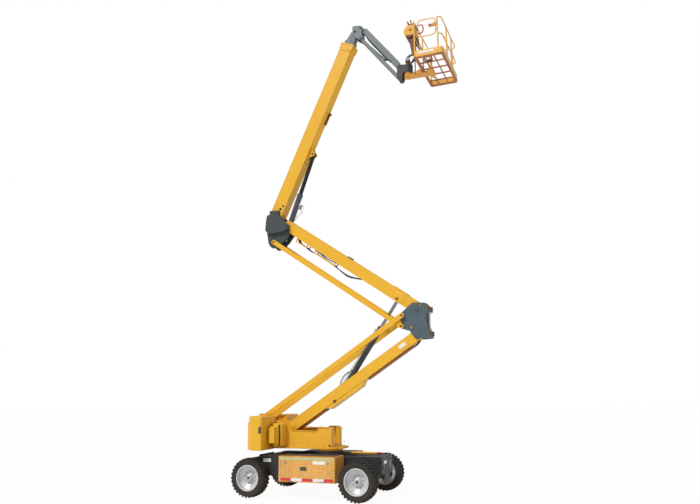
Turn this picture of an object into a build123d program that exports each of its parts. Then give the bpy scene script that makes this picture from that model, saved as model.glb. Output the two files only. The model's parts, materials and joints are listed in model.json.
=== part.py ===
from build123d import *
from math import atan2, cos, degrees, hypot, radians, sin
import os

os.makedirs("parts", exist_ok=True)

# Articulating boom lift. X runs forward, Y to the machine's left, Z up, and the ground is Z = 0.
# All sizes are millimetres and all angles are degrees above the horizontal.

# ---- driving dimensions: chassis and wheels ----
wheelbase = 2960
overall_width = 2450
tyre_radius = 490
tyre_width = 355
bead_radius = 305
lug_depth = 34
lugs_per_tyre = 30
deck_top = 1000
box_bottom = 410
box_top = 1030
box_rear = 780 - wheelbase / 2
box_front = wheelbase / 2 - 620
box_outer = 1010

# ---- driving dimensions: turntable ----
slew_x = 300
base_bottom = 1160
base_top = 1210
plate_inner = 320
plate_outer = 345

# ---- driving dimensions: tower of two booms that rise together ----
foot = (-1130, 1460)
lower_angle, lower_length = 32.8, 4710
knuckle_rise = (10, 680)
riser_angle, riser_length = 34.7, 4550
lower_link_offset = (-380, 505)
upper_link_offset = (-425, -450)

# ---- driving dimensions: main boom, jib and platform ----
main_offset = (-400, 370)
main_angle = 65
head_reach, head_drop = 5900, -40
main_tip = head_reach - 420
jib_offset = (175, 80)
jib_angle, jib_length = -52.8, 1885
jib_link_offset = (0, -330)
rotator_reach = 235
platform_reach, platform_depth = 422, 790
platform_half = 915
floor_drop = 230
rail_height = 1070

# ---- clearances ----
pin_gap = 0.5
side_gap = 5


def turned(point, angle):
    c, s = cos(radians(angle)), sin(radians(angle))
    return (point[0] * c - point[1] * s, point[0] * s + point[1] * c)


def added(a, b):
    return (a[0] + b[0], a[1] + b[1])


# ---- joint places, side view, X from the middle of the wheelbase ----
lower_tip = added(foot, turned((lower_length, 0), lower_angle))
riser_foot = added(lower_tip, knuckle_rise)
riser_tip = added(riser_foot, turned((-riser_length, 0), -riser_angle))
lower_link_foot = added(foot, lower_link_offset)
lower_link_tip = added(lower_tip, lower_link_offset)
upper_link_foot = added(riser_foot, upper_link_offset)
upper_link_tip = added(riser_tip, upper_link_offset)
main_pivot = added(riser_tip, main_offset)
head_pivot = added(main_pivot, turned((head_reach, head_drop), main_angle))
jib_pivot = added(head_pivot, jib_offset)
jib_tip = added(jib_pivot, turned((jib_length, 0), jib_angle))
jib_link_foot = added(jib_pivot, jib_link_offset)
jib_link_tip = added(jib_tip, jib_link_offset)
rotator_x = jib_tip[0] + rotator_reach
platform_rear = rotator_x + platform_reach
platform_front = platform_rear + platform_depth
floor_top = jib_tip[1] - floor_drop
rail_top = floor_top + rail_height

# The origin stands on the ground under the middle of the whole envelope, so the
# middle of the wheelbase lies behind it by this much.
wheel_rear = -wheelbase / 2 - tyre_radius
mid_x = -(wheel_rear + platform_front) / 2


def side(point, angle=0, y=0):
    """Upright plane facing the machine's right, its own X axis raised by angle."""
    c, s = cos(radians(angle)), sin(radians(angle))
    return Plane(origin=(mid_x + point[0], y, point[1]), x_dir=(c, 0, s), z_dir=(0, -1, 0))


def level(z, x=0, y=0):
    """Level plane at height z with its own origin at x from the middle of the wheelbase."""
    return Plane(origin=(mid_x + x, y, z), x_dir=(1, 0, 0), z_dir=(0, 0, 1))


def across(x, z=0, y=0):
    """Upright plane square to X, its own X axis along +Y."""
    return Plane(origin=(mid_x + x, y, z), x_dir=(0, 1, 0), z_dir=(1, 0, 0))


def save(builder, name):
    builder.part.label = name
    export_step(builder.part, f"parts/{name}.step")


# ================= wheels =================
wheel_y = overall_width / 2 - tyre_width / 2
kingpin_y = 860
hub_radius = 100
spindle_radius = 45
drum_radius = 110
drum_inner, drum_outer = kingpin_y + 67, kingpin_y + 142
spindle_end = wheel_y + 65
half_tread = tyre_width / 2
rim_half = 150
rim_wall = 12
lug_width = 62
lug_slant = 24
carcass_radius = tyre_radius - lug_depth
flank_radius = tyre_radius - 60
sidewall_radius = tyre_radius - 110

wheels = [
    # name, x, side (-1 is the machine's right)
    ("front_right", wheelbase / 2, -1),
    ("front_left", wheelbase / 2, 1),
    ("rear_right", -wheelbase / 2, -1),
    ("rear_left", -wheelbase / 2, 1),
]

# The tyre's carcass has one flat for each lug, so every lug stands square on its flat.
carcass_rings = [
    # distance from the tyre's middle, radius to the flats
    (rim_half, bead_radius + 20),
    (half_tread - 4, sidewall_radius),
    (half_tread - 14, flank_radius),
    (half_tread - 52, carcass_radius),
]
slant_c, slant_s = cos(radians(lug_slant)), sin(radians(lug_slant))
lug_reach = (half_tread - lug_width / 2 * slant_s) / slant_c
lug_swing = lug_reach * slant_s / 2
lug_top = tyre_radius - 2
with BuildPart() as tyre_right:
    for n in range(lugs_per_tyre):
        turn = radians(360 * n / lugs_per_tyre)
        radial = Vector(sin(turn), 0, cos(turn))
        tangent = Vector(cos(turn), 0, -sin(turn))
        along = Vector(0, 1 if n % 2 else -1, 0) * slant_c + tangent * slant_s
        with BuildSketch(Plane(tangent * -lug_swing, x_dir=along, z_dir=along.cross(radial))):
            Polygon(
                (12, carcass_radius - 10),
                (12, lug_top),
                (lug_reach - 30, lug_top),
                (lug_reach, flank_radius + 10),
                (lug_reach, flank_radius - 25),
                (lug_reach - 40, flank_radius - 30),
                align=None,
            )
        extrude(amount=lug_width / 2, both=True)
    for y, radius in [(-y, radius) for y, radius in carcass_rings] + carcass_rings[::-1]:
        with BuildSketch(Plane((0, y, 0), x_dir=(1, 0, 0), z_dir=(0, 1, 0))):
            RegularPolygon(radius, lugs_per_tyre, major_radius=False, rotation=180 / lugs_per_tyre)
    loft(ruled=True)
    with BuildSketch(Plane.XZ):
        Circle(bead_radius)
    extrude(amount=half_tread, both=True, mode=Mode.SUBTRACT)
tyres = {-1: tyre_right.part, 1: mirror(tyre_right.part, about=Plane.XZ)}

for name, x, hand in wheels:
    centre = (mid_x + x, hand * wheel_y, tyre_radius)
    radial = Plane(origin=centre, x_dir=(0, hand, 0), z_dir=(hand, 0, 0))
    axle = Axis(centre, (0, hand, 0))
    with BuildPart() as tyre:
        with Locations(centre):
            add(tyres[hand])
    save(tyre, f"tyre_{name}")
    seat = bead_radius - 0.3
    flange = seat + 16
    drop = seat - rim_wall
    rim_profile = [
        # distance outwards from the wheel's middle, radius
        (-rim_half - 8, flange),
        (-rim_half - 8, drop),
        (10, drop),
        (-18, 165),
        (-18, 125),
        (-40, drum_radius),
        (-40, spindle_radius + pin_gap),
        (70, spindle_radius + pin_gap),
        (70, 0),
        (100, 0),
        (100, 52),
        (92, 66),
        (40, 78),
        (24, hub_radius),
        (-2, hub_radius + 8),
        (-2, 172),
        (56, drop - 8),
        (rim_half - 10, drop),
        (rim_half + 8, drop),
        (rim_half + 8, flange),
        (rim_half + 0.3, flange),
        (rim_half + 0.3, seat),
        (-rim_half - 0.3, seat),
        (-rim_half - 0.3, flange),
    ]
    with BuildPart() as rim:
        with BuildSketch(radial):
            Polygon(*rim_profile, align=None)
        revolve(axis=axle)
    save(rim, f"rim_{name}")

# ================= axles and steering knuckles =================
fork_arm_inner, fork_arm_outer = 100, 140
kingpin_radius = 30
boss_radius = 55
fork_root = 690
beam_half = 75
arm_reach = 190
arm_inset = 60
arm_z = 25
tie_rod_x = wheelbase / 2 - arm_reach
tie_rod_z = tyre_radius + arm_z + 20 + side_gap + 22
steering_cylinder = 38


for name, hand in (("right", -1), ("left", 1)):
    with BuildPart() as knuckle:
        with BuildSketch(level(tyre_radius, wheelbase / 2, hand * kingpin_y)):
            Circle(boss_radius)
        extrude(amount=fork_arm_inner - side_gap, both=True)
        with BuildSketch(level(tyre_radius, wheelbase / 2, hand * kingpin_y)):
            Circle(kingpin_radius)
        extrude(amount=fork_arm_outer + 12, both=True)
        with BuildSketch(side((wheelbase / 2, tyre_radius), y=hand * drum_inner)):
            Circle(drum_radius)
        extrude(amount=-hand * (drum_outer - drum_inner))
        with BuildSketch(side((wheelbase / 2, tyre_radius), y=hand * (kingpin_y - 20))):
            Circle(spindle_radius)
        extrude(amount=-hand * (spindle_end - kingpin_y + 20))
        with BuildSketch(level(tyre_radius + arm_z, wheelbase / 2, hand * kingpin_y)):
            with BuildLine():
                Polyline(
                    (-20, 40),
                    (-20, -40),
                    (-arm_reach, -hand * arm_inset - 28),
                    (-arm_reach, -hand * arm_inset + 28),
                    close=True,
                )
            make_face()
            with Locations((-arm_reach, -hand * arm_inset)):
                Circle(28)
        extrude(amount=20)
    save(knuckle, f"steering_knuckle_{name}")

with BuildPart() as front_axle:
    with BuildSketch(across(wheelbase / 2, tyre_radius)):
        Rectangle(2 * fork_root + 40, 120)
    extrude(amount=beam_half, both=True)
    for hand in (-1, 1):
        with BuildSketch(level(tyre_radius, wheelbase / 2, hand * kingpin_y)):
            Circle(boss_radius)
            with Locations((0, -hand * (kingpin_y - fork_root) / 2)):
                Rectangle(2 * boss_radius, kingpin_y - fork_root)
        extrude(amount=fork_arm_outer, both=True)
    with BuildSketch(level(tyre_radius, wheelbase / 2)):
        with Locations((0, kingpin_y - 33), (0, 33 - kingpin_y)):
            Rectangle(2 * boss_radius + 60, 200)
    extrude(amount=fork_arm_inner, both=True, mode=Mode.SUBTRACT)
    with BuildSketch(level(tyre_radius, wheelbase / 2)):
        with Locations((0, kingpin_y), (0, -kingpin_y)):
            Circle(kingpin_radius + pin_gap)
    extrude(amount=fork_arm_outer + 5, both=True, mode=Mode.SUBTRACT)
    with BuildSketch(across(wheelbase / 2, tyre_radius + 60)):
        Circle(60)
    extrude(amount=beam_half + 60, both=True)
    # steering cylinder that the tie rod slides through
    with BuildSketch(side((tie_rod_x, tie_rod_z))):
        Circle(steering_cylinder)
    extrude(amount=250, both=True)
    for y in (-222, 222):
        with BuildSketch(side((0, 0), y=y)):
            Polygon((tie_rod_x, tie_rod_z - 30), (tie_rod_x, tie_rod_z + 30),
                    (wheelbase / 2 - beam_half + 5, tie_rod_z), (wheelbase / 2 - beam_half + 5, tyre_radius - 40),
                    align=None)
        extrude(amount=12, both=True)
    with BuildSketch(side((tie_rod_x, tie_rod_z))):
        Circle(20 + pin_gap)
    extrude(amount=260, both=True, mode=Mode.SUBTRACT)
save(front_axle, "front_axle")

with BuildPart() as rear_axle:
    with BuildSketch(across(-wheelbase / 2, tyre_radius)):
        Rectangle(2 * (drum_inner + 10), 130)
    extrude(amount=65, both=True)
    for hand in (-1, 1):
        with BuildSketch(side((-wheelbase / 2, tyre_radius), y=hand * drum_inner)):
            Circle(drum_radius)
        extrude(amount=-hand * (drum_outer - drum_inner))
        with BuildSketch(side((-wheelbase / 2, tyre_radius), y=hand * (kingpin_y - 20))):
            Circle(spindle_radius)
        extrude(amount=-hand * (spindle_end - kingpin_y + 20))
    with BuildSketch(across(-wheelbase / 2, tyre_radius + 60)):
        Circle(60)
    extrude(amount=125, both=True)
save(rear_axle, "rear_axle")

with BuildPart() as tie_rod:
    with BuildSketch(level(tie_rod_z - 22, tie_rod_x)):
        with Locations((0, kingpin_y - arm_inset), (0, arm_inset - kingpin_y)):
            Circle(30)
    extrude(amount=44)
    with BuildSketch(side((tie_rod_x, tie_rod_z))):
        Circle(20)
    extrude(amount=kingpin_y - arm_inset, both=True)
save(tie_rod, "tie_rod")

# ================= chassis =================
frame_half = 420
frame_bottom = 620
belly = 440
cover_half = 840
frame_wall = 12
nose = wheelbase / 2 + 390
tail = -wheelbase / 2 - 210
tail_top = 930
slope_end = 200
spine_outline = [
    (tail, frame_bottom),
    (tail, tail_top),
    (slope_end - wheelbase / 2, deck_top),
    (nose, deck_top),
    (nose, frame_bottom),
    (wheelbase / 2 - 420, frame_bottom),
    (wheelbase / 2 - 520, belly),
    (520 - wheelbase / 2, belly),
    (420 - wheelbase / 2, frame_bottom),
]
rear_outline = [
    (tail, 700),
    (tail, tail_top),
    (slope_end - wheelbase / 2, deck_top),
    (box_rear, deck_top),
    (box_rear, 500),
    (560 - wheelbase / 2, 500),
    (420 - wheelbase / 2, 700),
]

guard_plate = 14
guard_half = 430
guard_bottom = 430
tow_bar_x, tow_bar_y, tow_bar_length = 780, 250, 860
tow_bar_radius = 26
tow_bar_z = deck_top + 34

# The tie-down lugs hang below the spine in the gaps between the side boxes and the wheels.
tie_down_x = (635 - wheelbase / 2, wheelbase / 2 - 555)
tie_down_z = belly - 55
tie_down_bore = 27
tie_down_plate = 25

with BuildPart() as chassis_frame:
    # wide rear cover between the rear wheels, and the middle spine, lower between the axles
    for outline, half in ((rear_outline, cover_half), (spine_outline, frame_half)):
        with BuildSketch(side((0, 0))):
            Polygon(*outline, align=None)
        extrude(amount=half, both=True)
        with BuildSketch(side((0, 0))):
            Polygon(*outline, align=None)
            offset(amount=-frame_wall, kind=Kind.INTERSECTION)
        extrude(amount=half - frame_wall, both=True, mode=Mode.SUBTRACT)
    # axle saddles
    for x in (-wheelbase / 2, wheelbase / 2):
        for reach in (beam_half + 12, -beam_half - 32):
            with BuildSketch(across(x + reach, 0)):
                Polygon(
                    (-frame_half + 6, deck_top - 6),
                    (-150, 470),
                    (150, 470),
                    (frame_half - 6, deck_top - 6),
                    align=None,
                )
            extrude(amount=20)
        with BuildSketch(across(x, tyre_radius + 60)):
            Circle(60)
        extrude(amount=160, both=True, mode=Mode.SUBTRACT)
    # front guard plate with a swept lower edge
    with BuildSketch(across(nose - guard_plate)):
        Polygon(
            (-guard_half, deck_top),
            (guard_half, deck_top),
            (guard_half, frame_bottom - 10),
            (guard_half - 110, guard_bottom),
            (110 - guard_half, guard_bottom),
            (-guard_half, frame_bottom - 10),
            align=None,
        )
        fillet(vertices(), 20)
    extrude(amount=guard_plate)
    # tow bar stowed along the deck, on two saddles
    with BuildSketch(across(tow_bar_x, tow_bar_z, tow_bar_y)):
        Circle(tow_bar_radius)
    extrude(amount=tow_bar_length)
    for share in (0.15, 0.85):
        with BuildSketch(across(tow_bar_x + share * tow_bar_length, 0, tow_bar_y)):
            Polygon(
                (-40, deck_top - 5),
                (-28, tow_bar_z),
                (28, tow_bar_z),
                (40, deck_top - 5),
                align=None,
            )
        extrude(amount=30)
    # tie-down lugs below the side walls
    for x in tie_down_x:
        for hand in (-1, 1):
            with BuildSketch(side((x, tie_down_z), y=hand * (frame_half - tie_down_plate))):
                with Locations((0, 42)):
                    Rectangle(100, 84)
                Circle(50)
                Circle(tie_down_bore, mode=Mode.SUBTRACT)
            extrude(amount=-hand * tie_down_plate)
save(chassis_frame, "chassis_frame")

ring_inner, ring_outer = 340, 385
ring_height = 75
ring_flange = 18
with BuildPart() as slew_ring:
    with BuildSketch(level(deck_top, slew_x)):
        Circle(ring_outer + 30)
    extrude(amount=ring_flange)
    with BuildSketch(level(deck_top, slew_x)):
        Circle(ring_outer)
    extrude(amount=ring_height)
    with BuildSketch(level(deck_top, slew_x)):
        Circle(ring_inner)
    extrude(amount=ring_height, mode=Mode.SUBTRACT)
    with BuildSketch(level(deck_top, slew_x)):
        with PolarLocations(ring_outer + 15, 20):
            Circle(9)
    extrude(amount=ring_flange + 12)
save(slew_ring, "slew_ring")

side_wall = 8
door_margin = 60
for name, hand in (("right", -1), ("left", 1)):
    middle = (box_rear + box_front) / 2
    depth = box_outer - frame_half
    with BuildPart() as side_box:
        with BuildSketch(level(box_bottom, middle, hand * (frame_half + depth / 2))):
            RectangleRounded(box_front - box_rear, depth, 24)
            with Locations((0, -hand * depth / 4)):
                Rectangle(box_front - box_rear, depth / 2)
        extrude(amount=box_top - box_bottom)
        with BuildSketch(level(box_bottom + side_wall, middle, hand * (frame_half + depth / 2))):
            Rectangle(box_front - box_rear - 4 * side_wall, depth - 4 * side_wall)
        extrude(amount=box_top - box_bottom - 2 * side_wall, mode=Mode.SUBTRACT)
        # open back, against the middle of the chassis
        with BuildSketch(side((middle, (box_bottom + box_top) / 2), y=hand * (frame_half - 1))):
            Rectangle(box_front - box_rear - 8 * side_wall, box_top - box_bottom - 6 * side_wall)
        extrude(amount=-hand * 4 * side_wall, mode=Mode.SUBTRACT)
        # joint line round the door in the outer face
        with BuildSketch(side((middle, (box_bottom + box_top) / 2), y=hand * (box_outer + 1))):
            Rectangle(box_front - box_rear - 2 * door_margin, box_top - box_bottom - 2 * door_margin)
            Rectangle(
                box_front - box_rear - 2 * door_margin - 12,
                box_top - box_bottom - 2 * door_margin - 12,
                mode=Mode.SUBTRACT,
            )
        extrude(amount=hand * 5, mode=Mode.SUBTRACT)
        # kick lip along the top edge
        with BuildSketch(side((middle, box_top - 14), y=hand * (box_outer - 2))):
            Rectangle(box_front - box_rear - 60, 28)
        extrude(amount=-hand * 8)
    save(side_box, f"side_box_{name}")

# ================= turntable =================
foot_pin_radius = 45
hood_rear, hood_front = -1140, 120
hinge_y, hinge_z = 362, 1640
link_pin_radius = 28

with BuildPart() as turntable_frame:
    with BuildSketch(level(base_bottom)):
        with BuildLine():
            Polyline(
                (-1640, -plate_outer - 60),
                (slew_x, -plate_outer - 60),
                (740, -220),
                (740, 220),
                (slew_x, plate_outer + 60),
                (-1640, plate_outer + 60),
                close=True,
            )
        make_face()
        with Locations((slew_x, 0)):
            Circle(440)
    extrude(amount=base_top - base_bottom)
    with BuildSketch(level(deck_top + 10, slew_x)):
        Circle(ring_inner - pin_gap)
        Circle(255, mode=Mode.SUBTRACT)
    extrude(amount=base_bottom - deck_top)
    for hand in (-1, 1):
        with BuildSketch(side((0, 0), y=hand * plate_inner)):
            Polygon(
                (-1640, base_top - 5),
                (-1640, 2050),
                (-1400, 2050),
                (-1300, 1850),
                (-930, 1830),
                (-660, 1630),
                (40, 1610),
                (150, 1710),
                (410, 1710),
                (490, 1620),
                (490, base_top - 5),
                align=None,
            )
        extrude(amount=-hand * (plate_outer - plate_inner))
    # front posts beside the boom's path, on a low cross beam
    with BuildSketch(across(410, 0)):
        Polygon((-330, base_top - 5), (-330, 1700), (330, 1700), (330, base_top - 5), align=None)
        Polygon((-165, 1270), (-165, 1800), (165, 1800), (165, 1270), align=None, mode=Mode.SUBTRACT)
    extrude(amount=80)
    # top flanges along the side plates, where no cover stands against them
    for hand, x_rear, z_rear, x_front, z_front in (
        (-1, -660, 1630, 40, 1610),
        (-1, 40, 1610, 150, 1710),
        (-1, 150, 1710, 410, 1710),
        (1, 150, 1710, 410, 1710),
    ):
        with BuildSketch(side((0, 0), y=hand * (plate_inner + 6))):
            Polygon(
                (x_rear, z_rear - 14),
                (x_rear, z_rear),
                (x_front, z_front),
                (x_front, z_front - 14),
                align=None,
            )
        extrude(amount=-hand * 42)
    # boom foot pin and the two link foot pins
    with BuildSketch(side(foot)):
        Circle(foot_pin_radius)
    extrude(amount=plate_outer, both=True)
    for hand in (-1, 1):
        with BuildSketch(side(lower_link_foot, y=hand * 246)):
            Circle(link_pin_radius)
        extrude(amount=-hand * (plate_outer - 246))
    # brackets and pins for the engine hood
    for x, out in ((hood_rear - 9.5, 1), (hood_front + 1.5, -1)):
        with BuildSketch(across(x)):
            Polygon((plate_outer - 5, 1590), (plate_outer - 5, 1665), (378, 1665), (378, 1625), align=None)
        extrude(amount=8)
        with BuildSketch(across(x + 4, hinge_z, hinge_y)):
            Circle(6)
        extrude(amount=out * 60)
save(turntable_frame, "turntable_frame")

with BuildPart() as counterweight:
    for hand in (-1, 1):
        with BuildSketch(level(1150)):
            Polygon(
                (-1660, hand * (plate_outer + 1)),
                (-1660, hand * 860),
                (-1470, hand * 1100),
                (-1150, hand * 1100),
                (-1150, hand * (plate_outer + 1)),
                align=None,
            )
            fillet(vertices().filter_by(lambda corner: abs(corner.Y) > plate_outer + 10), 55)
        extrude(amount=2000 - 1150)
    chamfer(faces().sort_by(Axis.Z)[-2:].edges(), 24)
    for hand in (-1, 1):
        with BuildSketch(level(1140)):
            Polygon(
                (-1640, hand * 100),
                (-1640, hand * (plate_outer + 62)),
                (-1100, hand * (plate_outer + 62)),
                (-1100, hand * 100),
                align=None,
            )
        extrude(amount=base_top + 1 - 1140, mode=Mode.SUBTRACT)
    with BuildSketch(level(1150, -1670)):
        RectangleRounded(60, 1700, 24)
    extrude(amount=700)
save(counterweight, "counterweight")

cover_rear, cover_front = -1149, -800
cover_depth = 300
cover_bottom, cover_top = 1230, 1800
with BuildPart() as cover_right:
    with BuildSketch(level(cover_bottom)):
        Polygon(
            (cover_rear, -plate_outer),
            (cover_rear, -plate_outer - cover_depth),
            (cover_front, -plate_outer - cover_depth),
            (cover_front, -plate_outer),
            align=None,
        )
        fillet(vertices().filter_by(lambda corner: corner.X > mid_x + cover_front - 1
                                    and corner.Y < -plate_outer - 1), 150)
    extrude(amount=cover_top - cover_bottom)
    chamfer(faces().sort_by(Axis.Z)[-1].edges().filter_by(lambda edge: edge.center().Y < -plate_outer - 1), 18)
    with BuildSketch(side((cover_rear + 145, (cover_bottom + cover_top) / 2), y=-plate_outer - cover_depth)):
        Rectangle(250, 470)
    extrude(amount=190, taper=14)
    with BuildSketch(side((0, 0), y=-plate_outer)):
        Polygon(
            (cover_rear + 8, cover_bottom + 8),
            (cover_rear + 8, cover_top - 26),
            (cover_front - 60, cover_top - 26),
            (cover_front - 60, cover_bottom + 8),
            align=None,
        )
    extrude(amount=cover_depth - 10, mode=Mode.SUBTRACT)
save(cover_right, "cover_right")

with BuildPart() as engine_tray:
    with BuildSketch(level(base_top)):
        with Locations(((hood_rear + hood_front) / 2, 700)):
            Rectangle(hood_front - hood_rear - 40, 640)
    extrude(amount=12)
    with BuildSketch(level(base_top + 12)):
        with Locations(((hood_rear + hood_front) / 2, 680)):
            Rectangle(820, 440)
    extrude(amount=330)
save(engine_tray, "engine_block")

with BuildPart() as engine_hood:
    with BuildSketch(across(hood_rear)):
        Polygon(
            (360, 1634),
            (360, 1640),
            (980, 1640),
            (1050, 1560),
            (1050, base_top + 20),
            (360, base_top + 20),
            align=None,
        )
    extrude(amount=hood_front - hood_rear)
    with BuildSketch(across(hood_rear + 6)):
        Polygon(
            (300, base_top),
            (300, 1634),
            (977, 1634),
            (1044, 1557),
            (1044, base_top),
            align=None,
        )
    extrude(amount=hood_front - hood_rear - 12, mode=Mode.SUBTRACT)
    # louvres in the outer wall
    with BuildSketch(side(((hood_rear + hood_front) / 2, 1400), y=1050 + 1)):
        with GridLocations(300, 42, 3, 6):
            SlotOverall(230, 18)
    extrude(amount=10, mode=Mode.SUBTRACT)
    with BuildSketch(across(hood_rear, hinge_z, hinge_y)):
        Circle(12)
    extrude(amount=hood_front - hood_rear)
    with BuildSketch(across(hood_rear - 1, hinge_z, hinge_y)):
        Circle(6 + pin_gap)
    extrude(amount=hood_front - hood_rear + 2, mode=Mode.SUBTRACT)
save(engine_hood, "engine_hood")

# ================= lower boom =================
boom_half = 150
lower_depth = 270
wall = 10
tower_foot = (1850, -125)
tower_slot = 95
tower_pin_radius = 35

with BuildPart() as lower_boom:
    with BuildSketch(side(foot, lower_angle)):
        Polygon(
            (60, -lower_depth / 2),
            (60, lower_depth / 2),
            (lower_length - 60, lower_depth / 2),
            (lower_length - 60, -lower_depth / 2),
            align=None,
        )
    extrude(amount=boom_half, both=True)
    # deeper box that carries the tower cylinder's foot
    with BuildSketch(side(foot, lower_angle)):
        Polygon(
            (1560, -lower_depth / 2 + 1),
            (1640, -lower_depth / 2 - 90),
            (2700, -lower_depth / 2 - 90),
            (2860, -lower_depth / 2 + 1),
            align=None,
        )
    extrude(amount=boom_half - 10, both=True)
    # hollow inside
    with BuildSketch(side(foot, lower_angle)):
        Rectangle(2 * lower_length, lower_depth - 2 * wall, align=(Align.CENTER, Align.CENTER))
    extrude(amount=boom_half - wall, both=True, mode=Mode.SUBTRACT)
    # slot for the tower cylinder
    with BuildSketch(side(foot, lower_angle)):
        Polygon(
            (tower_foot[0] - 100, -lower_depth / 2 - 60),
            (tower_foot[0] - 100, lower_depth),
            (tower_foot[0] + 1250, lower_depth),
            (tower_foot[0] + 700, -lower_depth / 2 - 60),
            align=None,
        )
    extrude(amount=tower_slot, both=True, mode=Mode.SUBTRACT)
    # foot hub
    with BuildSketch(side(foot)):
        Circle(95)
    extrude(amount=plate_inner - side_gap, both=True)
    with BuildSketch(side(foot, lower_angle)):
        Polygon((0, -95), (0, 95), (120, lower_depth / 2), (120, -lower_depth / 2), align=None)
    extrude(amount=boom_half, both=True)
    with BuildSketch(side(foot)):
        Circle(foot_pin_radius + pin_gap)
    extrude(amount=plate_inner, both=True, mode=Mode.SUBTRACT)
    # tip hub
    with BuildSketch(side(lower_tip, lower_angle)):
        Circle(100)
        Polygon((0, -100), (0, 100), (-120, lower_depth / 2), (-120, -lower_depth / 2), align=None)
    extrude(amount=boom_half, both=True)
    with BuildSketch(side(lower_tip)):
        Circle(foot_pin_radius + pin_gap)
    extrude(amount=boom_half + 5, both=True, mode=Mode.SUBTRACT)
    # tower cylinder foot pin
    with BuildSketch(side(added(foot, turned(tower_foot, lower_angle)))):
        Circle(tower_pin_radius)
    extrude(amount=boom_half - 2, both=True)
save(lower_boom, "lower_boom")

# ================= lower links =================
lower_link_inner, lower_link_outer = 250, 290
link_depth = 130
lower_link_length = lower_length
with BuildPart() as lower_links:
    for hand in (-1, 1):
        with BuildSketch(side(lower_link_foot, lower_angle, hand * lower_link_inner)):
            with Locations((lower_link_length / 2, 0)):
                SlotCenterToCenter(lower_link_length, link_depth)
            with Locations((0, 0), (lower_link_length, 0)):
                Circle(link_pin_radius + pin_gap, mode=Mode.SUBTRACT)
        extrude(amount=-hand * (lower_link_outer - lower_link_inner))
save(lower_links, "lower_links")

# ================= lower knuckle =================
cheek_inner, cheek_outer = 158, 195
knuckle_outline = [
    added(riser_foot, (-119, 139)),
    added(riser_foot, (211, 129)),
    added(riser_foot, (291, -91)),
    added(riser_foot, (231, -141)),
    added(lower_tip, (241, 309)),
    added(lower_tip, (311, 69)),
    added(lower_tip, (301, -101)),
    added(lower_tip, (-39, -111)),
    added(lower_tip, (-219, 119)),
    added(lower_tip, (-399, 159)),
    added(lower_tip, (-429, 389)),
    added(riser_foot, (-429, -101)),
]
boss_height = 8
front_plate = 60
with BuildPart() as lower_knuckle:
    for hand in (-1, 1):
        with BuildSketch(side((0, 0), y=hand * cheek_inner)):
            Polygon(*knuckle_outline, align=None)
            fillet(vertices(), 28)
            # sight hole and rigging slot
            with Locations(added(lower_tip, (-161, 194))):
                Circle(34, mode=Mode.SUBTRACT)
            with Locations(Location(added(riser_foot, (91, 54)), -40)):
                SlotOverall(120, 46, mode=Mode.SUBTRACT)
        extrude(amount=-hand * (cheek_outer - cheek_inner))
        # bosses round the boom pins
        for pin in (lower_tip, riser_foot):
            with BuildSketch(side(pin, y=hand * (cheek_outer - 2))):
                Circle(90)
            extrude(amount=-hand * (boss_height + 2))
        # pins for the lower link outside and the upper link inside
        for pin, reach in ((lower_link_tip, lower_link_outer + 15), (upper_link_foot, 244)):
            with BuildSketch(side(pin, y=hand * cheek_inner)):
                Circle(link_pin_radius)
            extrude(amount=-hand * (reach - cheek_inner))
    # front plate between the cheeks
    with BuildSketch(side((0, 0))):
        with BuildLine():
            front_edge = Polyline(*knuckle_outline[1:7])
            offset(front_edge, amount=front_plate, side=Side.RIGHT, closed=True)
        make_face()
    extrude(amount=cheek_inner + 5, both=True)
    # stops at the two front corners, wider than the cheeks
    for corner, angle in ((added(riser_foot, (266, -51)), -70), (added(lower_tip, (299, -26)), 85)):
        with BuildSketch(side(corner, angle)):
            Rectangle(130, 70)
        extrude(amount=cheek_outer + 14, both=True)
    # rubbing strip that stands off the front plate
    with BuildSketch(side(lower_tip)):
        Polygon((296, 609), (309, 609), (291, 289), (311, 49), (298, 49), (278, 289), align=None)
    extrude(amount=60, both=True)
    # boom pins
    for pin in (lower_tip, riser_foot):
        with BuildSketch(side(pin)):
            Circle(foot_pin_radius)
        extrude(amount=cheek_outer + boss_height + 6, both=True)
save(lower_knuckle, "lower_knuckle")

# ================= riser boom =================
riser_depth = 300
riser_wall = 12
riser_slot = 98
tower_head = (615, -80)
stub_inner = 80
head_slot_start, head_slot_end = 220, 1580
fork_length = 1850

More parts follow.
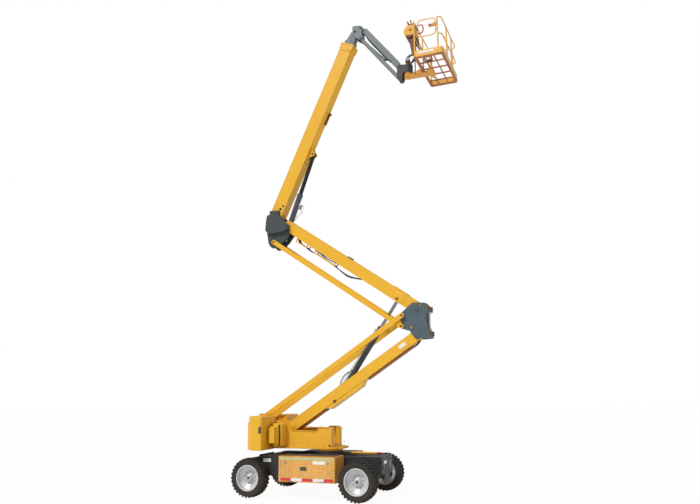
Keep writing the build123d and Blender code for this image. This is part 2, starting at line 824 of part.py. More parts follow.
with BuildPart() as riser_boom:
    riser = side(riser_foot, 180 - riser_angle)
    # in this plane the boom runs along +X and its underside faces +Y
    with BuildSketch(riser):
        with Locations((riser_length / 2, 0)):
            Rectangle(riser_length - 150, riser_depth)
    extrude(amount=boom_half, both=True)
    with BuildSketch(riser):
        with Locations((riser_length / 2, 0)):
            Rectangle(riser_length, riser_depth - 2 * riser_wall)
    extrude(amount=boom_half - riser_wall, both=True, mode=Mode.SUBTRACT)
    # underside slot for the tower cylinder
    with BuildSketch(riser):
        with Locations(((head_slot_start + head_slot_end) / 2, riser_depth / 2)):
            Rectangle(head_slot_end - head_slot_start, 60)
    extrude(amount=tower_slot, both=True, mode=Mode.SUBTRACT)
    # fork that the main cylinder passes through
    with BuildSketch(riser):
        with Locations((riser_length - fork_length / 2 + 50, 0)):
            Rectangle(fork_length, riser_depth + 10)
    extrude(amount=riser_slot, both=True, mode=Mode.SUBTRACT)
    for hand in (-1, 1):
        with BuildSketch(side(riser_tip, 180 - riser_angle, hand * riser_slot)):
            Circle(riser_depth / 2)
            with Locations((-150, 0)):
                Rectangle(300, riser_depth)
        extrude(amount=-hand * (boom_half - riser_slot))
    with BuildSketch(side(riser_tip)):
        Circle(foot_pin_radius + pin_gap)
    extrude(amount=boom_half + 5, both=True, mode=Mode.SUBTRACT)
    # foot hub
    with BuildSketch(riser):
        Circle(100)
        Polygon((0, -100), (0, 100), (130, riser_depth / 2), (130, -riser_depth / 2), align=None)
    extrude(amount=boom_half, both=True)
    with BuildSketch(side(riser_foot)):
        Circle(foot_pin_radius + pin_gap)
    extrude(amount=boom_half + 5, both=True, mode=Mode.SUBTRACT)
    # tower cylinder's head pin, in two stubs beside the rod's eye
    for hand in (-1, 1):
        with BuildSketch(side(riser_foot, 180 - riser_angle, hand * stub_inner)):
            with Locations((tower_head[0], -tower_head[1])):
                Circle(60)
        extrude(amount=-hand * (boom_half - 5 - stub_inner))
save(riser_boom, "riser_boom")

# ================= upper links, welded into one frame =================
upper_inner, upper_outer = 200, 240
upper_length = riser_length
upper_depth = 125
with BuildPart() as upper_link:
    for hand in (-1, 1):
        with BuildSketch(side(upper_link_foot, 180 - riser_angle, hand * upper_inner)):
            with Locations((upper_length / 2, 0)):
                SlotCenterToCenter(upper_length, upper_depth)
            with Locations((0, 0), (upper_length, 0)):
                Circle(link_pin_radius + pin_gap, mode=Mode.SUBTRACT)
        extrude(amount=-hand * (upper_outer - upper_inner))
    with BuildSketch(side(upper_link_foot, 180 - riser_angle)):
        with Locations((3050, 0)):
            Circle(25)
    extrude(amount=upper_inner + 5, both=True)
save(upper_link, "upper_link")

# ================= upper knuckle =================
main_foot = added(riser_tip, (-178, -362))
cheek_outline = [
    (-578, 499),
    (-265, 481),
    (-263, 331),
    (-103, 141),
    (54, -6),
    (49, -99),
    (42, -244),
    (-125, -448),
    (-325, -614),
    (-467, -628),
    (-556, -566),
    (-616, -454),
    (-673, -101),
    (-660, 124),
    (-627, 321),
    (-582, 361),
]
cover_outline = [
    (-582, 361),
    (-263, 331),
    (-103, 141),
    (54, -6),
    (49, -99),
    (-59, -173),
    (-560, -214),
    (-673, -101),
    (-660, 124),
    (-627, 321),
]
web_outline = [(-658, -82), (-628, -172), (-528, -492), (-503, -484), (-603, -164), (-628, -72)]
plate_in, plate_out = 164, 190
cover_thick = 110
cap_thick = 45
with BuildPart() as upper_knuckle:
    for hand in (-1, 1):
        with BuildSketch(side(riser_tip, y=hand * plate_in)):
            Polygon(*cheek_outline, align=None)
            fillet(vertices(), 14)
        extrude(amount=-hand * (plate_out - plate_in))
        # boxed cover over the boom pins, with a thinner cap round the main boom's pin
        with BuildSketch(side(riser_tip, y=hand * (plate_out - 1))):
            Polygon(*cover_outline, align=None)
            fillet(vertices(), 22)
        extrude(amount=-hand * cover_thick)
        chamfer(faces().sort_by(Axis.Y)[-1 if hand > 0 else 0].edges(), 9)
        with BuildSketch(side(riser_tip, y=hand * (plate_out - 1))):
            Polygon((-570, 345), (-566, 487), (-277, 470), (-275, 335), align=None)
        extrude(amount=-hand * cap_thick)
        # stub pins: riser, main boom, upper link
        with BuildSketch(side(riser_tip, y=hand * (riser_slot + 3))):
            Circle(foot_pin_radius)
        extrude(amount=-hand * (plate_out - riser_slot - 3))
        with BuildSketch(side(upper_link_tip, y=hand * plate_in)):
            Circle(link_pin_radius)
        extrude(amount=-hand * (244 - plate_in))
    with BuildSketch(side(main_pivot)):
        Circle(foot_pin_radius)
    extrude(amount=plate_out, both=True)
    with BuildSketch(side(main_foot)):
        Circle(tower_pin_radius)
    extrude(amount=plate_out, both=True)
    # web between the cheeks at the back
    with BuildSketch(side(riser_tip)):
        Polygon(*web_outline, align=None)
    extrude(amount=plate_in + 2, both=True)
save(upper_knuckle, "upper_knuckle")

# ================= main boom =================
main_depth, main_half = 370, 160
main_wall = 10
main_lug = (2050, -302)
main_slot_half = 62
inner_depth, inner_half = 300, 122
pad_gap = 0.5
pad_top = main_depth / 2 - main_wall - inner_depth / 2 - pad_gap
pad_side = main_half - main_wall - inner_half - pad_gap
with BuildPart() as main_boom:
    main = side(main_pivot, main_angle)
    with BuildSketch(main):
        Polygon(
            (-90, -120), (-150, 0), (-90, main_depth / 2), (main_tip, main_depth / 2),
            (main_tip, -main_depth / 2), (60, -main_depth / 2),
            align=None,
        )
    extrude(amount=main_half, both=True)
    # wear-pad collar
    with BuildSketch(main):
        with Locations((main_tip - 90, 0)):
            Rectangle(180, main_depth + 36)
    extrude(amount=main_half + 18, both=True)
    with BuildSketch(main):
        with Locations((main_tip / 2 + 200, 0)):
            Rectangle(main_tip - 200, main_depth - 2 * main_wall)
    extrude(amount=main_half - main_wall, both=True, mode=Mode.SUBTRACT)
    with BuildSketch(side(main_pivot)):
        Circle(foot_pin_radius + pin_gap)
    extrude(amount=main_half + 5, both=True, mode=Mode.SUBTRACT)
    # wear pads that guide the extension
    for along in (main_tip - 60, main_tip - 700):
        for v, hand in ((1, 0), (-1, 0), (0, 1), (0, -1)):
            with BuildSketch(main.offset(hand * (inner_half + pad_gap + pad_side / 2))):
                with Locations((along, v * (inner_depth / 2 + pad_gap + pad_top / 2))):
                    Rectangle(110, pad_top if v else 160)
            extrude(amount=pad_side / 2 if hand else 70, both=True)
    # cylinder lug: two ears under the boom
    for hand in (-1, 1):
        with BuildSketch(side(main_pivot, main_angle, hand * (main_slot_half + 2))):
            Polygon(
                (main_lug[0] - 190, -main_depth / 2 + 1),
                (main_lug[0] - 62, main_lug[1] - 20),
                (main_lug[0] + 62, main_lug[1] - 20),
                (main_lug[0] + 190, -main_depth / 2 + 1),
                align=None,
            )
            with Locations(main_lug):
                Circle(65)
        extrude(amount=-hand * 26)
save(main_boom, "main_boom")

# ================= boom extension =================
extension_tail = 900
with BuildPart() as boom_extension:
    with BuildSketch(main):
        Polygon(
            (extension_tail, -inner_depth / 2), (extension_tail, inner_depth / 2),
            (main_tip + 110, inner_depth / 2), (main_tip + 110, -inner_depth / 2),
            align=None,
        )
    extrude(amount=inner_half, both=True)
    with BuildSketch(main):
        Polygon(
            (extension_tail - 10, -inner_depth / 2 + 8), (extension_tail - 10, inner_depth / 2 - 8),
            (main_tip + 100, inner_depth / 2 - 8), (main_tip + 100, -inner_depth / 2 + 8),
            align=None,
        )
    extrude(amount=inner_half - 8, both=True, mode=Mode.SUBTRACT)
    # neck that carries the jib head
    with BuildSketch(main):
        Polygon(
            (main_tip + 100, -130),
            (main_tip + 100, 130),
            (head_reach - 40, 75),
            (head_reach + 70, 0),
            (head_reach + 40, -110),
            (head_reach - 40, -125),
            align=None,
        )
        with Locations((head_reach, head_drop)):
            Circle(85)
            Circle(30 + pin_gap, mode=Mode.SUBTRACT)
    extrude(amount=100, both=True)
save(boom_extension, "boom_extension")

# ================= jib head =================
head_in, head_out = 110, 134
with BuildPart() as jib_head:
    for hand in (-1, 1):
        with BuildSketch(side(head_pivot, y=hand * head_in)):
            Polygon(
                (-76, -60),
                (-76, 165),
                (34, 170),
                (160, 145),
                (232, 108),
                (236, 30),
                (204, -80),
                (230, -240),
                (212, -298),
                (150, -306),
                (34, -225),
                (-40, -120),
                align=None,
            )
            fillet(vertices(), 18)
        extrude(amount=-hand * (head_out - head_in))
    with BuildSketch(side(head_pivot)):
        Circle(30)
    extrude(amount=head_out + 8, both=True)
    for pin in (jib_pivot, jib_link_foot):
        with BuildSketch(side(pin)):
            Circle(26)
        extrude(amount=head_out + 8, both=True)
save(jib_head, "jib_head")

# ================= jib arm =================
arm_half, arm_depth = 75, 160
arm_top = 116
jib_lug = (1250, -150)
ear_inner = 48
with BuildPart() as jib_arm:
    jib = side(jib_pivot, jib_angle)
    with BuildSketch(jib):
        Polygon(
            (90, -40),
            (90, 80),
            (150, arm_top),
            (jib_length - 170, arm_top),
            (jib_length - 90, 80),
            (jib_length - 90, -40),
            (jib_length - 170, arm_top - arm_depth),
            (170, arm_top - arm_depth),
            align=None,
        )
        fillet(vertices(), 12)
    extrude(amount=arm_half, both=True)
    for hand in (-1, 1):
        with BuildSketch(side(jib_pivot, jib_angle, hand * 50)):
            with Locations((jib_length / 2, 0)):
                SlotCenterToCenter(jib_length, 110)
            with Locations((0, 0), (jib_length, 0)):
                Circle(26 + pin_gap, mode=Mode.SUBTRACT)
        extrude(amount=-hand * (arm_half - 50))
        with BuildSketch(side(jib_pivot, jib_angle, hand * ear_inner)):
            Polygon(
                (jib_lug[0] - 130, arm_top - arm_depth + 1),
                (jib_lug[0] - 36, jib_lug[1] - 14),
                (jib_lug[0] + 36, jib_lug[1] - 14),
                (jib_lug[0] + 130, arm_top - arm_depth + 1),
                align=None,
            )
            with Locations(jib_lug):
                Circle(38)
        extrude(amount=-hand * 18)
save(jib_arm, "jib_arm")

# ================= jib link, two straps welded to a cross tube =================
link_in, link_out = 82, 104
link_brace = jib_length - 145
with BuildPart() as jib_link:
    for hand in (-1, 1):
        with BuildSketch(side(jib_link_foot, jib_angle, hand * link_in)):
            with Locations((jib_length / 2, 0)):
                SlotCenterToCenter(jib_length, 95)
            with Locations((0, 0), (jib_length, 0)):
                Circle(26 + pin_gap, mode=Mode.SUBTRACT)
        extrude(amount=-hand * (link_out - link_in))
    with BuildSketch(side(jib_link_foot, jib_angle)):
        with Locations((link_brace, 0)):
            Circle(22)
    extrude(amount=link_in + 4, both=True)
save(jib_link, "jib_link")

# ================= end bracket with rotator =================
rotator_radius = 132
rotator_shaft = 40
with BuildPart() as jib_end_bracket:
    for hand in (-1, 1):
        with BuildSketch(side(jib_tip, y=hand * head_in)):
            Polygon(
                (-62, 20),
                (-30, 62),
                (60, 60),
                (rotator_reach, 40),
                (rotator_reach, -188),
                (110, -188),
                (100, -260),
                (70, -370),
                (20, -388),
                (-50, -372),
                (-62, -300),
                align=None,
            )
            fillet(vertices(), 12)
        extrude(amount=-hand * (head_out - head_in))
    for pin in (jib_tip, jib_link_tip):
        with BuildSketch(side(pin)):
            Circle(26)
        extrude(amount=head_out + 8, both=True)
    with BuildSketch(level(jib_tip[1] - 190, rotator_x)):
        Circle(rotator_radius)
        Circle(rotator_shaft + pin_gap, mode=Mode.SUBTRACT)
    extrude(amount=240)
save(jib_end_bracket, "jib_end_bracket")

# ================= platform =================
floor_thick = 40
support_thick = 45
support_bottom = floor_top - floor_thick - support_thick
support_half = 130
gusset_start = rotator_x + 152
with BuildPart() as platform_support:
    with BuildSketch(level(jib_tip[1] - 200, rotator_x)):
        Circle(rotator_shaft)
    extrude(amount=260)
    with BuildSketch(level(jib_tip[1] + 55, rotator_x)):
        Circle(70)
    extrude(amount=60)
    with BuildSketch(level(support_bottom, rotator_x)):
        Circle(120)
    extrude(amount=jib_tip[1] - 195 - support_bottom)
    # arm and fork plate under the floor, braced to both sides
    with BuildSketch(level(support_bottom)):
        Polygon(
            (rotator_x - 40, -110),
            (rotator_x - 40, 110),
            (platform_rear + 60, support_half),
            (platform_rear + 340, support_half),
            (platform_rear + 340, -support_half),
            (platform_rear + 60, -support_half),
            align=None,
        )
        for hand in (-1, 1):
            Polygon(
                (platform_rear + 150, hand * (support_half - 5)),
                (platform_rear + 330, hand * (support_half - 5)),
                (platform_rear + 270, hand * (support_half + 210)),
                align=None,
            )
    extrude(amount=support_thick)
    with BuildSketch(side((0, 0))):
        Polygon(
            (gusset_start, support_bottom),
            (gusset_start, floor_top + 20),
            (platform_rear - 40, floor_top + 110),
            (platform_rear - 5, floor_top + 110),
            (platform_rear - 5, support_bottom),
            align=None,
        )
    extrude(amount=support_thick, both=True)
save(platform_support, "platform_support")

# The floor is an open frame of three by five cells.
floor_x = (platform_rear + platform_front) / 2
floor_edge = 60
floor_corner = 75
floor_bar = 26
cell_x = platform_depth / 3
cell_y = 2 * platform_half / 5
with BuildPart() as platform_floor:
    with BuildSketch(level(floor_top - floor_thick, floor_x)):
        RectangleRounded(platform_depth, 2 * platform_half, floor_corner)
        RectangleRounded(
            platform_depth - 2 * floor_edge,
            2 * platform_half - 2 * floor_edge,
            floor_corner - 40,
            mode=Mode.SUBTRACT,
        )
    extrude(amount=floor_thick)
    with BuildSketch(level(floor_top - floor_thick, floor_x)):
        with Locations(*[(0, step * cell_y) for step in (-1.5, -0.5, 0.5, 1.5)]):
            Rectangle(platform_depth - floor_edge, floor_bar)
        with Locations((-cell_x / 2, 0), (cell_x / 2, 0)):
            Rectangle(floor_bar, 2 * platform_half - floor_edge)
    extrude(amount=floor_thick - 8)
save(platform_floor, "platform_floor")

tube = 20
rail_tube = 17
front_bulge = 105
post_x = (platform_rear + tube, platform_front - tube - front_bulge)
rail_y = platform_half - tube
rail_heights = (floor_top + 560, rail_top - tube)
rail_bend = 95
hoop_inset = 30
kick_height = 170
kick_plate = 4
gate_gap = 45
gate_bend = 110
gate_tube = 15
gate_x = (post_x[0] + 100, post_x[1] - gate_gap)
gate_z = (rail_heights[0], rail_heights[1])
hinge_lugs = (gate_z[0] + gate_bend + 25, gate_z[1] - gate_bend - 39)
with BuildPart() as platform_rails:
    # hoops round the rear and the far side
    for plane, start, end in (
        (across(post_x[0]), hoop_inset - rail_y, rail_y - hoop_inset),
        (side((0, 0), y=rail_y), post_x[0] + hoop_inset, post_x[1] - hoop_inset),
    ):
        with BuildLine(plane) as hoop:
            FilletPolyline(
                (start, rail_heights[0]),
                (end, rail_heights[0]),
                (end, rail_heights[1]),
                (start, rail_heights[1]),
                radius=rail_bend,
                close=True,
            )
        with BuildSketch(Plane(hoop.line @ 0, z_dir=hoop.line % 0)):
            Circle(rail_tube)
        sweep(path=hoop.line)
    # front rails, bent round to the front corner posts
    for z in rail_heights:
        with BuildLine(level(z)) as rail_path:
            FilletPolyline(
                (post_x[1], -rail_y),
                (post_x[1] + front_bulge, -rail_y),
                (post_x[1] + front_bulge, rail_y),
                (post_x[1], rail_y),
                radius=rail_bend,
            )
        with BuildSketch(across(post_x[1], z, -rail_y)):
            Circle(rail_tube)
        sweep(path=rail_path.line)
    for x, y in (
        (post_x[0], -rail_y),
        (post_x[0], 0),
        (post_x[0], rail_y),
        (post_x[1], -rail_y),
        (post_x[1], rail_y),
        (post_x[1] + front_bulge, -rail_y / 3),
        (post_x[1] + front_bulge, rail_y / 3),
    ):
        with BuildSketch(level(floor_top, x, y)):
            Circle(tube)
        extrude(amount=rail_heights[1] - floor_top)
    # hinge lugs that hold the gate's post
    for z in hinge_lugs:
        with BuildSketch(level(z)):
            with Locations((post_x[1] - gate_gap / 2, -rail_y)):
                Rectangle(gate_gap - 10, 24)
            with Locations((gate_x[1], -rail_y)):
                Circle(gate_tube + 9)
                Circle(gate_tube + pin_gap, mode=Mode.SUBTRACT)
        extrude(amount=14)
    # kick strip round the floor
    with BuildSketch(level(floor_top, floor_x)):
        RectangleRounded(platform_depth, 2 * platform_half, floor_corner)
        RectangleRounded(
            platform_depth - 2 * kick_plate,
            2 * platform_half - 2 * kick_plate,
            floor_corner - kick_plate,
            mode=Mode.SUBTRACT,
        )
    extrude(amount=kick_height)
save(platform_rails, "platform_rails")

# The gate is a hoop in the near side, hinged on the front post.
with BuildPart() as platform_gate:
    with BuildLine(side((0, 0), y=-rail_y)) as gate_path:
        FilletPolyline(
            (gate_x[0], gate_z[0]),
            (gate_x[1], gate_z[0]),
            (gate_x[1], gate_z[1]),
            (gate_x[0], gate_z[1]),
            radius=gate_bend,
            close=True,
        )
    with BuildSketch(Plane(gate_path.line @ 0, z_dir=gate_path.line % 0)):
        Circle(gate_tube)
    sweep(path=gate_path.line)
save(platform_gate, "platform_gate")

console_drum = 175
console_set = 105
console_y = (-860, -290)
console_x = platform_rear - console_set
console_z = rail_top - 245
with BuildPart() as control_console:
    # rounded drum with its sloping panel
    with BuildSketch(side((console_x, console_z), y=console_y[1])):
        Circle(console_drum)
        Polygon((0, -130), (0, 175), (console_set, 175), (console_set, -130), align=None)
        with Locations((console_set + console_drum, 0)):
            Rectangle(2 * console_drum, 3 * console_drum, mode=Mode.SUBTRACT)
    extrude(amount=console_y[1] - console_y[0])
    # tapering box for the cables below the drum
    with BuildSketch(side((console_x, console_z), y=console_y[0] + 230)):
        Polygon((-60, -150), (console_set, -100), (console_set, -640), (20, -640), align=None)
    extrude(amount=190)
    # mounting plate on the rear rails
    with BuildSketch(across(platform_rear - 14)):
        Polygon(
            (console_y[0] - 20, floor_top + kick_height - 30),
            (console_y[0] - 20, rail_top),
            (console_y[0] + 60, rail_top),
            (console_y[0] + 60, rail_heights[0] + 60),
            (console_y[1], rail_heights[0] + 60),
            (console_y[1], rail_heights[0] - 30),
            (console_y[0] + 60, rail_heights[0] - 30),
            (console_y[0] + 60, floor_top + kick_height - 30),
            align=None,
        )
    extrude(amount=14)
save(control_console, "control_console")

# ================= hydraulic cylinders =================
gland = 60
bore_wall = 12


def cylinder(name, low, high, shortest, free, barrel_radius, rod_radius, eye_half, pin_low, pin_high):
    """A barrel that turns on its pin at low and a rod whose eye sits at high.
    When shortest, the barrel's mouth stays free from the rod's pin."""
    reach = hypot(high[0] - low[0], high[1] - low[1])
    rise = degrees(atan2(high[1] - low[1], high[0] - low[0]))
    plane = side(low, rise)
    base = barrel_radius + 20
    mouth = shortest - free
    rod_tail = reach - (shortest - base - 30)
    start = Plane(origin=plane.origin, x_dir=(0, -1, 0), z_dir=plane.x_dir)
    with BuildPart() as barrel:
        with BuildSketch(plane):
            Circle(pin_low + 28)
            with Locations((base / 2, 0)):
                Rectangle(base, 2 * pin_low + 30)
        extrude(amount=eye_half, both=True)
        with BuildSketch(start.offset(base - 12)):
            Circle(barrel_radius)
        extrude(amount=mouth - base + 12)
        with BuildSketch(start.offset(base + 10)):
            Circle(barrel_radius - bore_wall)
        extrude(amount=mouth - gland - base - 10, mode=Mode.SUBTRACT)
        with BuildSketch(start.offset(mouth - gland - 1)):
            Circle(rod_radius + 0.5)
        extrude(amount=gland + 2, mode=Mode.SUBTRACT)
        with BuildSketch(plane):
            Circle(pin_low + pin_gap)
        extrude(amount=eye_half + 5, both=True, mode=Mode.SUBTRACT)
    save(barrel, f"{name}_barrel")
    with BuildPart() as rod:
        with BuildSketch(start.offset(rod_tail)):
            Circle(barrel_radius - bore_wall - 0.5)
        extrude(amount=40)
        with BuildSketch(start.offset(rod_tail)):
            Circle(rod_radius)
        extrude(amount=reach - rod_tail - pin_high)
        with BuildSketch(side(high)):
            Circle(pin_high + 26)
        extrude(amount=eye_half, both=True)
    save(rod, f"{name}_rod")


tower_low = added(foot, turned(tower_foot, lower_angle))
tower_high = added(riser_foot, turned((tower_head[0], -tower_head[1]), 180 - riser_angle))
main_high = added(main_pivot, turned(main_lug, main_angle))
jib_high = added(jib_pivot, turned(jib_lug, jib_angle))
tower_shortest = 2380
main_shortest = 1860
jib_shortest = 935
cylinder("tower_cylinder", tower_low, tower_high, tower_shortest, 75, 75, 42, 50, tower_pin_radius, 30)
cylinder("main_cylinder", main_foot, main_high, main_shortest, 460, 80, 58, 58, tower_pin_radius, 32)
cylinder("jib_cylinder", jib_link_foot, jib_high, jib_shortest, 61, 42, 24, 30, 26, 16)
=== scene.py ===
import bpy
import bmesh
import json
import math
from mathutils import Matrix, Vector


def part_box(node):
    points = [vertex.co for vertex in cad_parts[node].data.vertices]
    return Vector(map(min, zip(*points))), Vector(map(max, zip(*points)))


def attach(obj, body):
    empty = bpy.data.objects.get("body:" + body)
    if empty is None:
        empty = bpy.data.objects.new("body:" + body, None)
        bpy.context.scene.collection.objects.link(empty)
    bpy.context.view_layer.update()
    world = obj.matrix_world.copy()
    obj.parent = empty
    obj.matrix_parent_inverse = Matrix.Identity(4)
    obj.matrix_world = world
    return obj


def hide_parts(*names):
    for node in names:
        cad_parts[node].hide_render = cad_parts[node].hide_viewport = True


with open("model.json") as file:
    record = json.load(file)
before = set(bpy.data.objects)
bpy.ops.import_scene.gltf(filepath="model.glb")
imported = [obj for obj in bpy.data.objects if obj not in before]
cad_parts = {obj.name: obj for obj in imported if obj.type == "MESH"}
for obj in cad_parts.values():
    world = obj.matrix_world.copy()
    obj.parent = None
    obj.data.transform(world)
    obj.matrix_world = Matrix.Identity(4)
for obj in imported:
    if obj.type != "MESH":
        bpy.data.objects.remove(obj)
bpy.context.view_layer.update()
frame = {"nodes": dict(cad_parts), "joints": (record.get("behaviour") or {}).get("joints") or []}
nodes = frame["nodes"]
joints = {joint["name"]: joint for joint in frame["joints"]}
print("frame loaded:", len(nodes), "nodes")


def pin(name):
    return Vector(joints[name]["pos_m"])


# places of the joints, in the frame's metres
foot = pin("tower_lift")
lowerTip = pin("lower_knuckle_level")
riserFoot = pin("riser_lift")
riserTip = pin("upper_knuckle_level")
lowerLinkFoot = pin("lower_links_turn")
upperLinkFoot = pin("upper_link_turn")
towerLow = pin("tower_barrel_turn")
mainPivot = pin("main_lift")
mainFoot = pin("main_barrel_turn")
headPivot = pin("jib_head_level")
jibPivot = pin("jib_lift")
jibLinkFoot = pin("jib_links_turn")
jibTip = pin("end_bracket_level")
rotator = pin("platform_turn")


def direction(start, end):
    return (end - start).normalized()


def crosswise(line):
    # upright and square to a boom's own line
    return Vector((-line.z, 0, line.x))


# materials
def socket(shader, name, value):
    shader.inputs[name].default_value = value


def addNode(tree, kind, values=None, **settings):
    # shader node with its settings; each value is a plain one or the output that feeds the socket
    node = tree.nodes.new("ShaderNode" + kind)
    for name, setting in settings.items():
        setattr(node, name, setting)
    for name, value in (values or {}).items():
        if isinstance(value, bpy.types.NodeSocket):
            tree.links.new(value, node.inputs[name])
        else:
            node.inputs[name].default_value = value
    return node


def addRamp(tree, value, first, second, low=0.0, high=1.0):
    ramp = addNode(tree, "ValToRGB", {"Fac": value})
    for element, colour, position in zip(ramp.color_ramp.elements, (first, second), (low, high)):
        element.position = position
        element.color = [*colour, 1]
    return ramp.outputs["Color"]


def addMix(tree, factor, first, second):
    mix = addNode(tree, "Mix", {"Factor": factor, "A": first, "B": second}, data_type="RGBA")
    return mix.outputs["Result"]


def paint(name, colour, rough=0.38, metal=0.0, coat=0.25, vary=0.10, scale=5.0, bump=0.04, edge=0.004,
          dirt=None, dirtAmount=0.0, dirtTop=1.2, shine=0.35):
    # painted or cast surface: uneven colour, uneven gloss, fine texture, softened edges and settled dust
    material = bpy.data.materials.new(name)
    material.use_nodes = True
    tree = material.node_tree
    shader = tree.nodes["Principled BSDF"]
    place = addNode(tree, "TexCoord").outputs["Object"]
    broad = addNode(tree, "TexNoise", {"Scale": scale, "Detail": 4, "Vector": place}).outputs["Fac"]
    tint = addRamp(tree, broad, [c * (1 - vary) for c in colour],
                   [min(1, c * (1 + vary * 0.6)) for c in colour], 0.3, 0.72)
    if dirt:
        spots = addNode(tree, "TexNoise", {"Scale": 11, "Detail": 7, "Vector": place})
        parts = addNode(tree, "SeparateXYZ", {"Vector": place})
        height = addNode(tree, "MapRange", {"Value": parts.outputs["Z"], "From Min": dirtTop, "From Max": 0.1,
                                            "To Min": 0.0, "To Max": dirtAmount})
        share = addNode(tree, "Math", {0: height.outputs["Result"], 1: spots.outputs["Fac"]},
                        operation="MULTIPLY")
        tint = addMix(tree, share.outputs["Value"], tint, (*dirt, 1))
    tree.links.new(tint, shader.inputs["Base Color"])
    gloss = addNode(tree, "MapRange", {"Value": broad, "To Min": max(0.05, rough - 0.09),
                                       "To Max": min(1, rough + 0.12)})
    tree.links.new(gloss.outputs["Result"], shader.inputs["Roughness"])
    fine = addNode(tree, "TexNoise", {"Scale": scale * 34, "Detail": 2, "Vector": place})
    relief = addNode(tree, "Bump", {"Strength": bump, "Distance": 0.004, "Height": fine.outputs["Fac"]})
    if edge:
        soft = addNode(tree, "Bevel", {"Radius": edge}, samples=4)
        tree.links.new(soft.outputs["Normal"], relief.inputs["Normal"])
    tree.links.new(relief.outputs["Normal"], shader.inputs["Normal"])
    socket(shader, "Metallic", metal)
    socket(shader, "Coat Weight", coat)
    socket(shader, "Coat Roughness", 0.2)
    socket(shader, "Specular IOR Level", shine)
    return material


def striped(name, first, second, width, rough=0.3):
    # bands across X, for reflective tape
    material = paint(name, first, rough=rough, edge=0)
    tree = material.node_tree
    place = addNode(tree, "TexCoord").outputs["Object"]
    parts = addNode(tree, "SeparateXYZ", {"Vector": place})
    wrap = addNode(tree, "Math", {0: parts.outputs["X"], 1: width}, operation="PINGPONG")
    edge = addNode(tree, "Math", {0: wrap.outputs["Value"], 1: width / 2}, operation="GREATER_THAN")
    tint = addMix(tree, edge.outputs["Value"], (*first, 1), (*second, 1))
    tree.links.new(tint, tree.nodes["Principled BSDF"].inputs["Base Color"])
    return material


dust = (0.30, 0.24, 0.16)
yellowPaint = paint("yellowPaint", (0.80, 0.43, 0.022), rough=0.42, coat=0.08, bump=0.02, vary=0.05,
                    scale=1.6, edge=0.006)
chassisYellow = paint("chassisYellow", (0.78, 0.36, 0.05), rough=0.45, vary=0.14, scale=3.5,
                      dirt=(0.42, 0.36, 0.14), dirtAmount=0.35)
darkPaint = paint("darkPaint", (0.020, 0.025, 0.030), rough=0.5, coat=0.1, vary=0.25, scale=6, dirt=dust,
                  dirtAmount=0.14)
knuckleBlueGrey = paint("knuckleBlueGrey", (0.078, 0.113, 0.132), rough=0.45, coat=0.1, bump=0.02,
                        vary=0.06, scale=3, edge=0.006)
coverDarkGrey = paint("coverDarkGrey", (0.050, 0.064, 0.068), rough=0.5, coat=0.1, bump=0.02, vary=0.08,
                      scale=4, edge=0.008)
jibGrey = paint("jibGrey", (0.175, 0.195, 0.205), rough=0.42, coat=0.1, bump=0.02, vary=0.08, scale=3,
                edge=0.005)
cylinderGrey = paint("cylinderGrey", (0.062, 0.074, 0.088), rough=0.32, vary=0.08, scale=4)
cylinderDark = paint("cylinderDark", (0.040, 0.045, 0.052), rough=0.36, vary=0.12, scale=5)
bootBlack = paint("bootBlack", (0.012, 0.013, 0.014), rough=0.62, coat=0, vary=0.2, scale=9, bump=0.2)
chrome = paint("chrome", (0.34, 0.35, 0.36), rough=0.14, metal=1.0, coat=0, vary=0.03, edge=0)
bareSteel = paint("bareSteel", (0.10, 0.10, 0.105), rough=0.42, metal=0.7, coat=0, vary=0.2, scale=12,
                  edge=0.002)
boltSteel = paint("boltSteel", (0.36, 0.36, 0.36), rough=0.35, metal=0.9, coat=0, vary=0.15, scale=30, edge=0)
tyreRubber = paint("tyreRubber", (0.020, 0.019, 0.018), rough=0.78, coat=0, vary=0.3, scale=9, bump=0.35,
                   edge=0.004, dirt=(0.15, 0.105, 0.065), dirtAmount=0.36, dirtTop=1.6)
rimSilver = paint("rimSilver", (0.60, 0.61, 0.62), rough=0.36, metal=0.15, vary=0.06, scale=6, dirt=dust,
                  dirtAmount=0.12)
hubDark = paint("hubDark", (0.12, 0.12, 0.125), rough=0.4, metal=0.5, vary=0.15, scale=20, edge=0)
engineGrey = paint("engineGrey", (0.13, 0.14, 0.15), rough=0.6, vary=0.25, scale=14)
hoseBlack = paint("hoseBlack", (0.015, 0.015, 0.016), rough=0.55, coat=0, vary=0.2, scale=30, bump=0.2,
                  edge=0)
platformYellow = paint("platformYellow", (0.82, 0.46, 0.08), rough=0.34, vary=0.05, scale=3, edge=0)
# painted shade: machine yellow darkened to the orange-brown it shows in shade, used for the platform floor,
# its dots and the cable tray under the lower boom
yellowInShade = paint("yellowInShade", (0.36, 0.105, 0.014), rough=0.5, vary=0.18, scale=6, edge=0.003)
supportOrange = paint("supportOrange", (0.66, 0.28, 0.02), rough=0.45, vary=0.12, scale=4, edge=0.003)
consoleYellow = paint("consoleYellow", (0.76, 0.36, 0.03), rough=0.45, vary=0.06, scale=5, bump=0.12,
                      edge=0.006)
consoleBrown = paint("consoleBrown", (0.20, 0.050, 0.014), rough=0.55, vary=0.12, scale=8, edge=0)
gripRed = paint("gripRed", (0.55, 0.02, 0.02), rough=0.4, vary=0.08, scale=20, edge=0)
plateWhite = paint("plateWhite", (0.80, 0.80, 0.78), rough=0.35, vary=0.03, scale=12, edge=0)
plateBlue = paint("plateBlue", (0.05, 0.30, 0.55), rough=0.35, vary=0.05, scale=12, edge=0)
plateDark = paint("plateDark", (0.05, 0.05, 0.045), rough=0.4, vary=0.1, scale=12, edge=0)
studPale = paint("studPale", (0.72, 0.60, 0.36), rough=0.4, metal=0.2, vary=0.25, scale=9, edge=0)
stripGreen = paint("stripGreen", (0.50, 0.56, 0.30), rough=0.5, vary=0.15, scale=7, edge=0)
reflector = striped("reflector", (0.78, 0.76, 0.72), (0.62, 0.05, 0.04), 0.30)
print("materials ready")

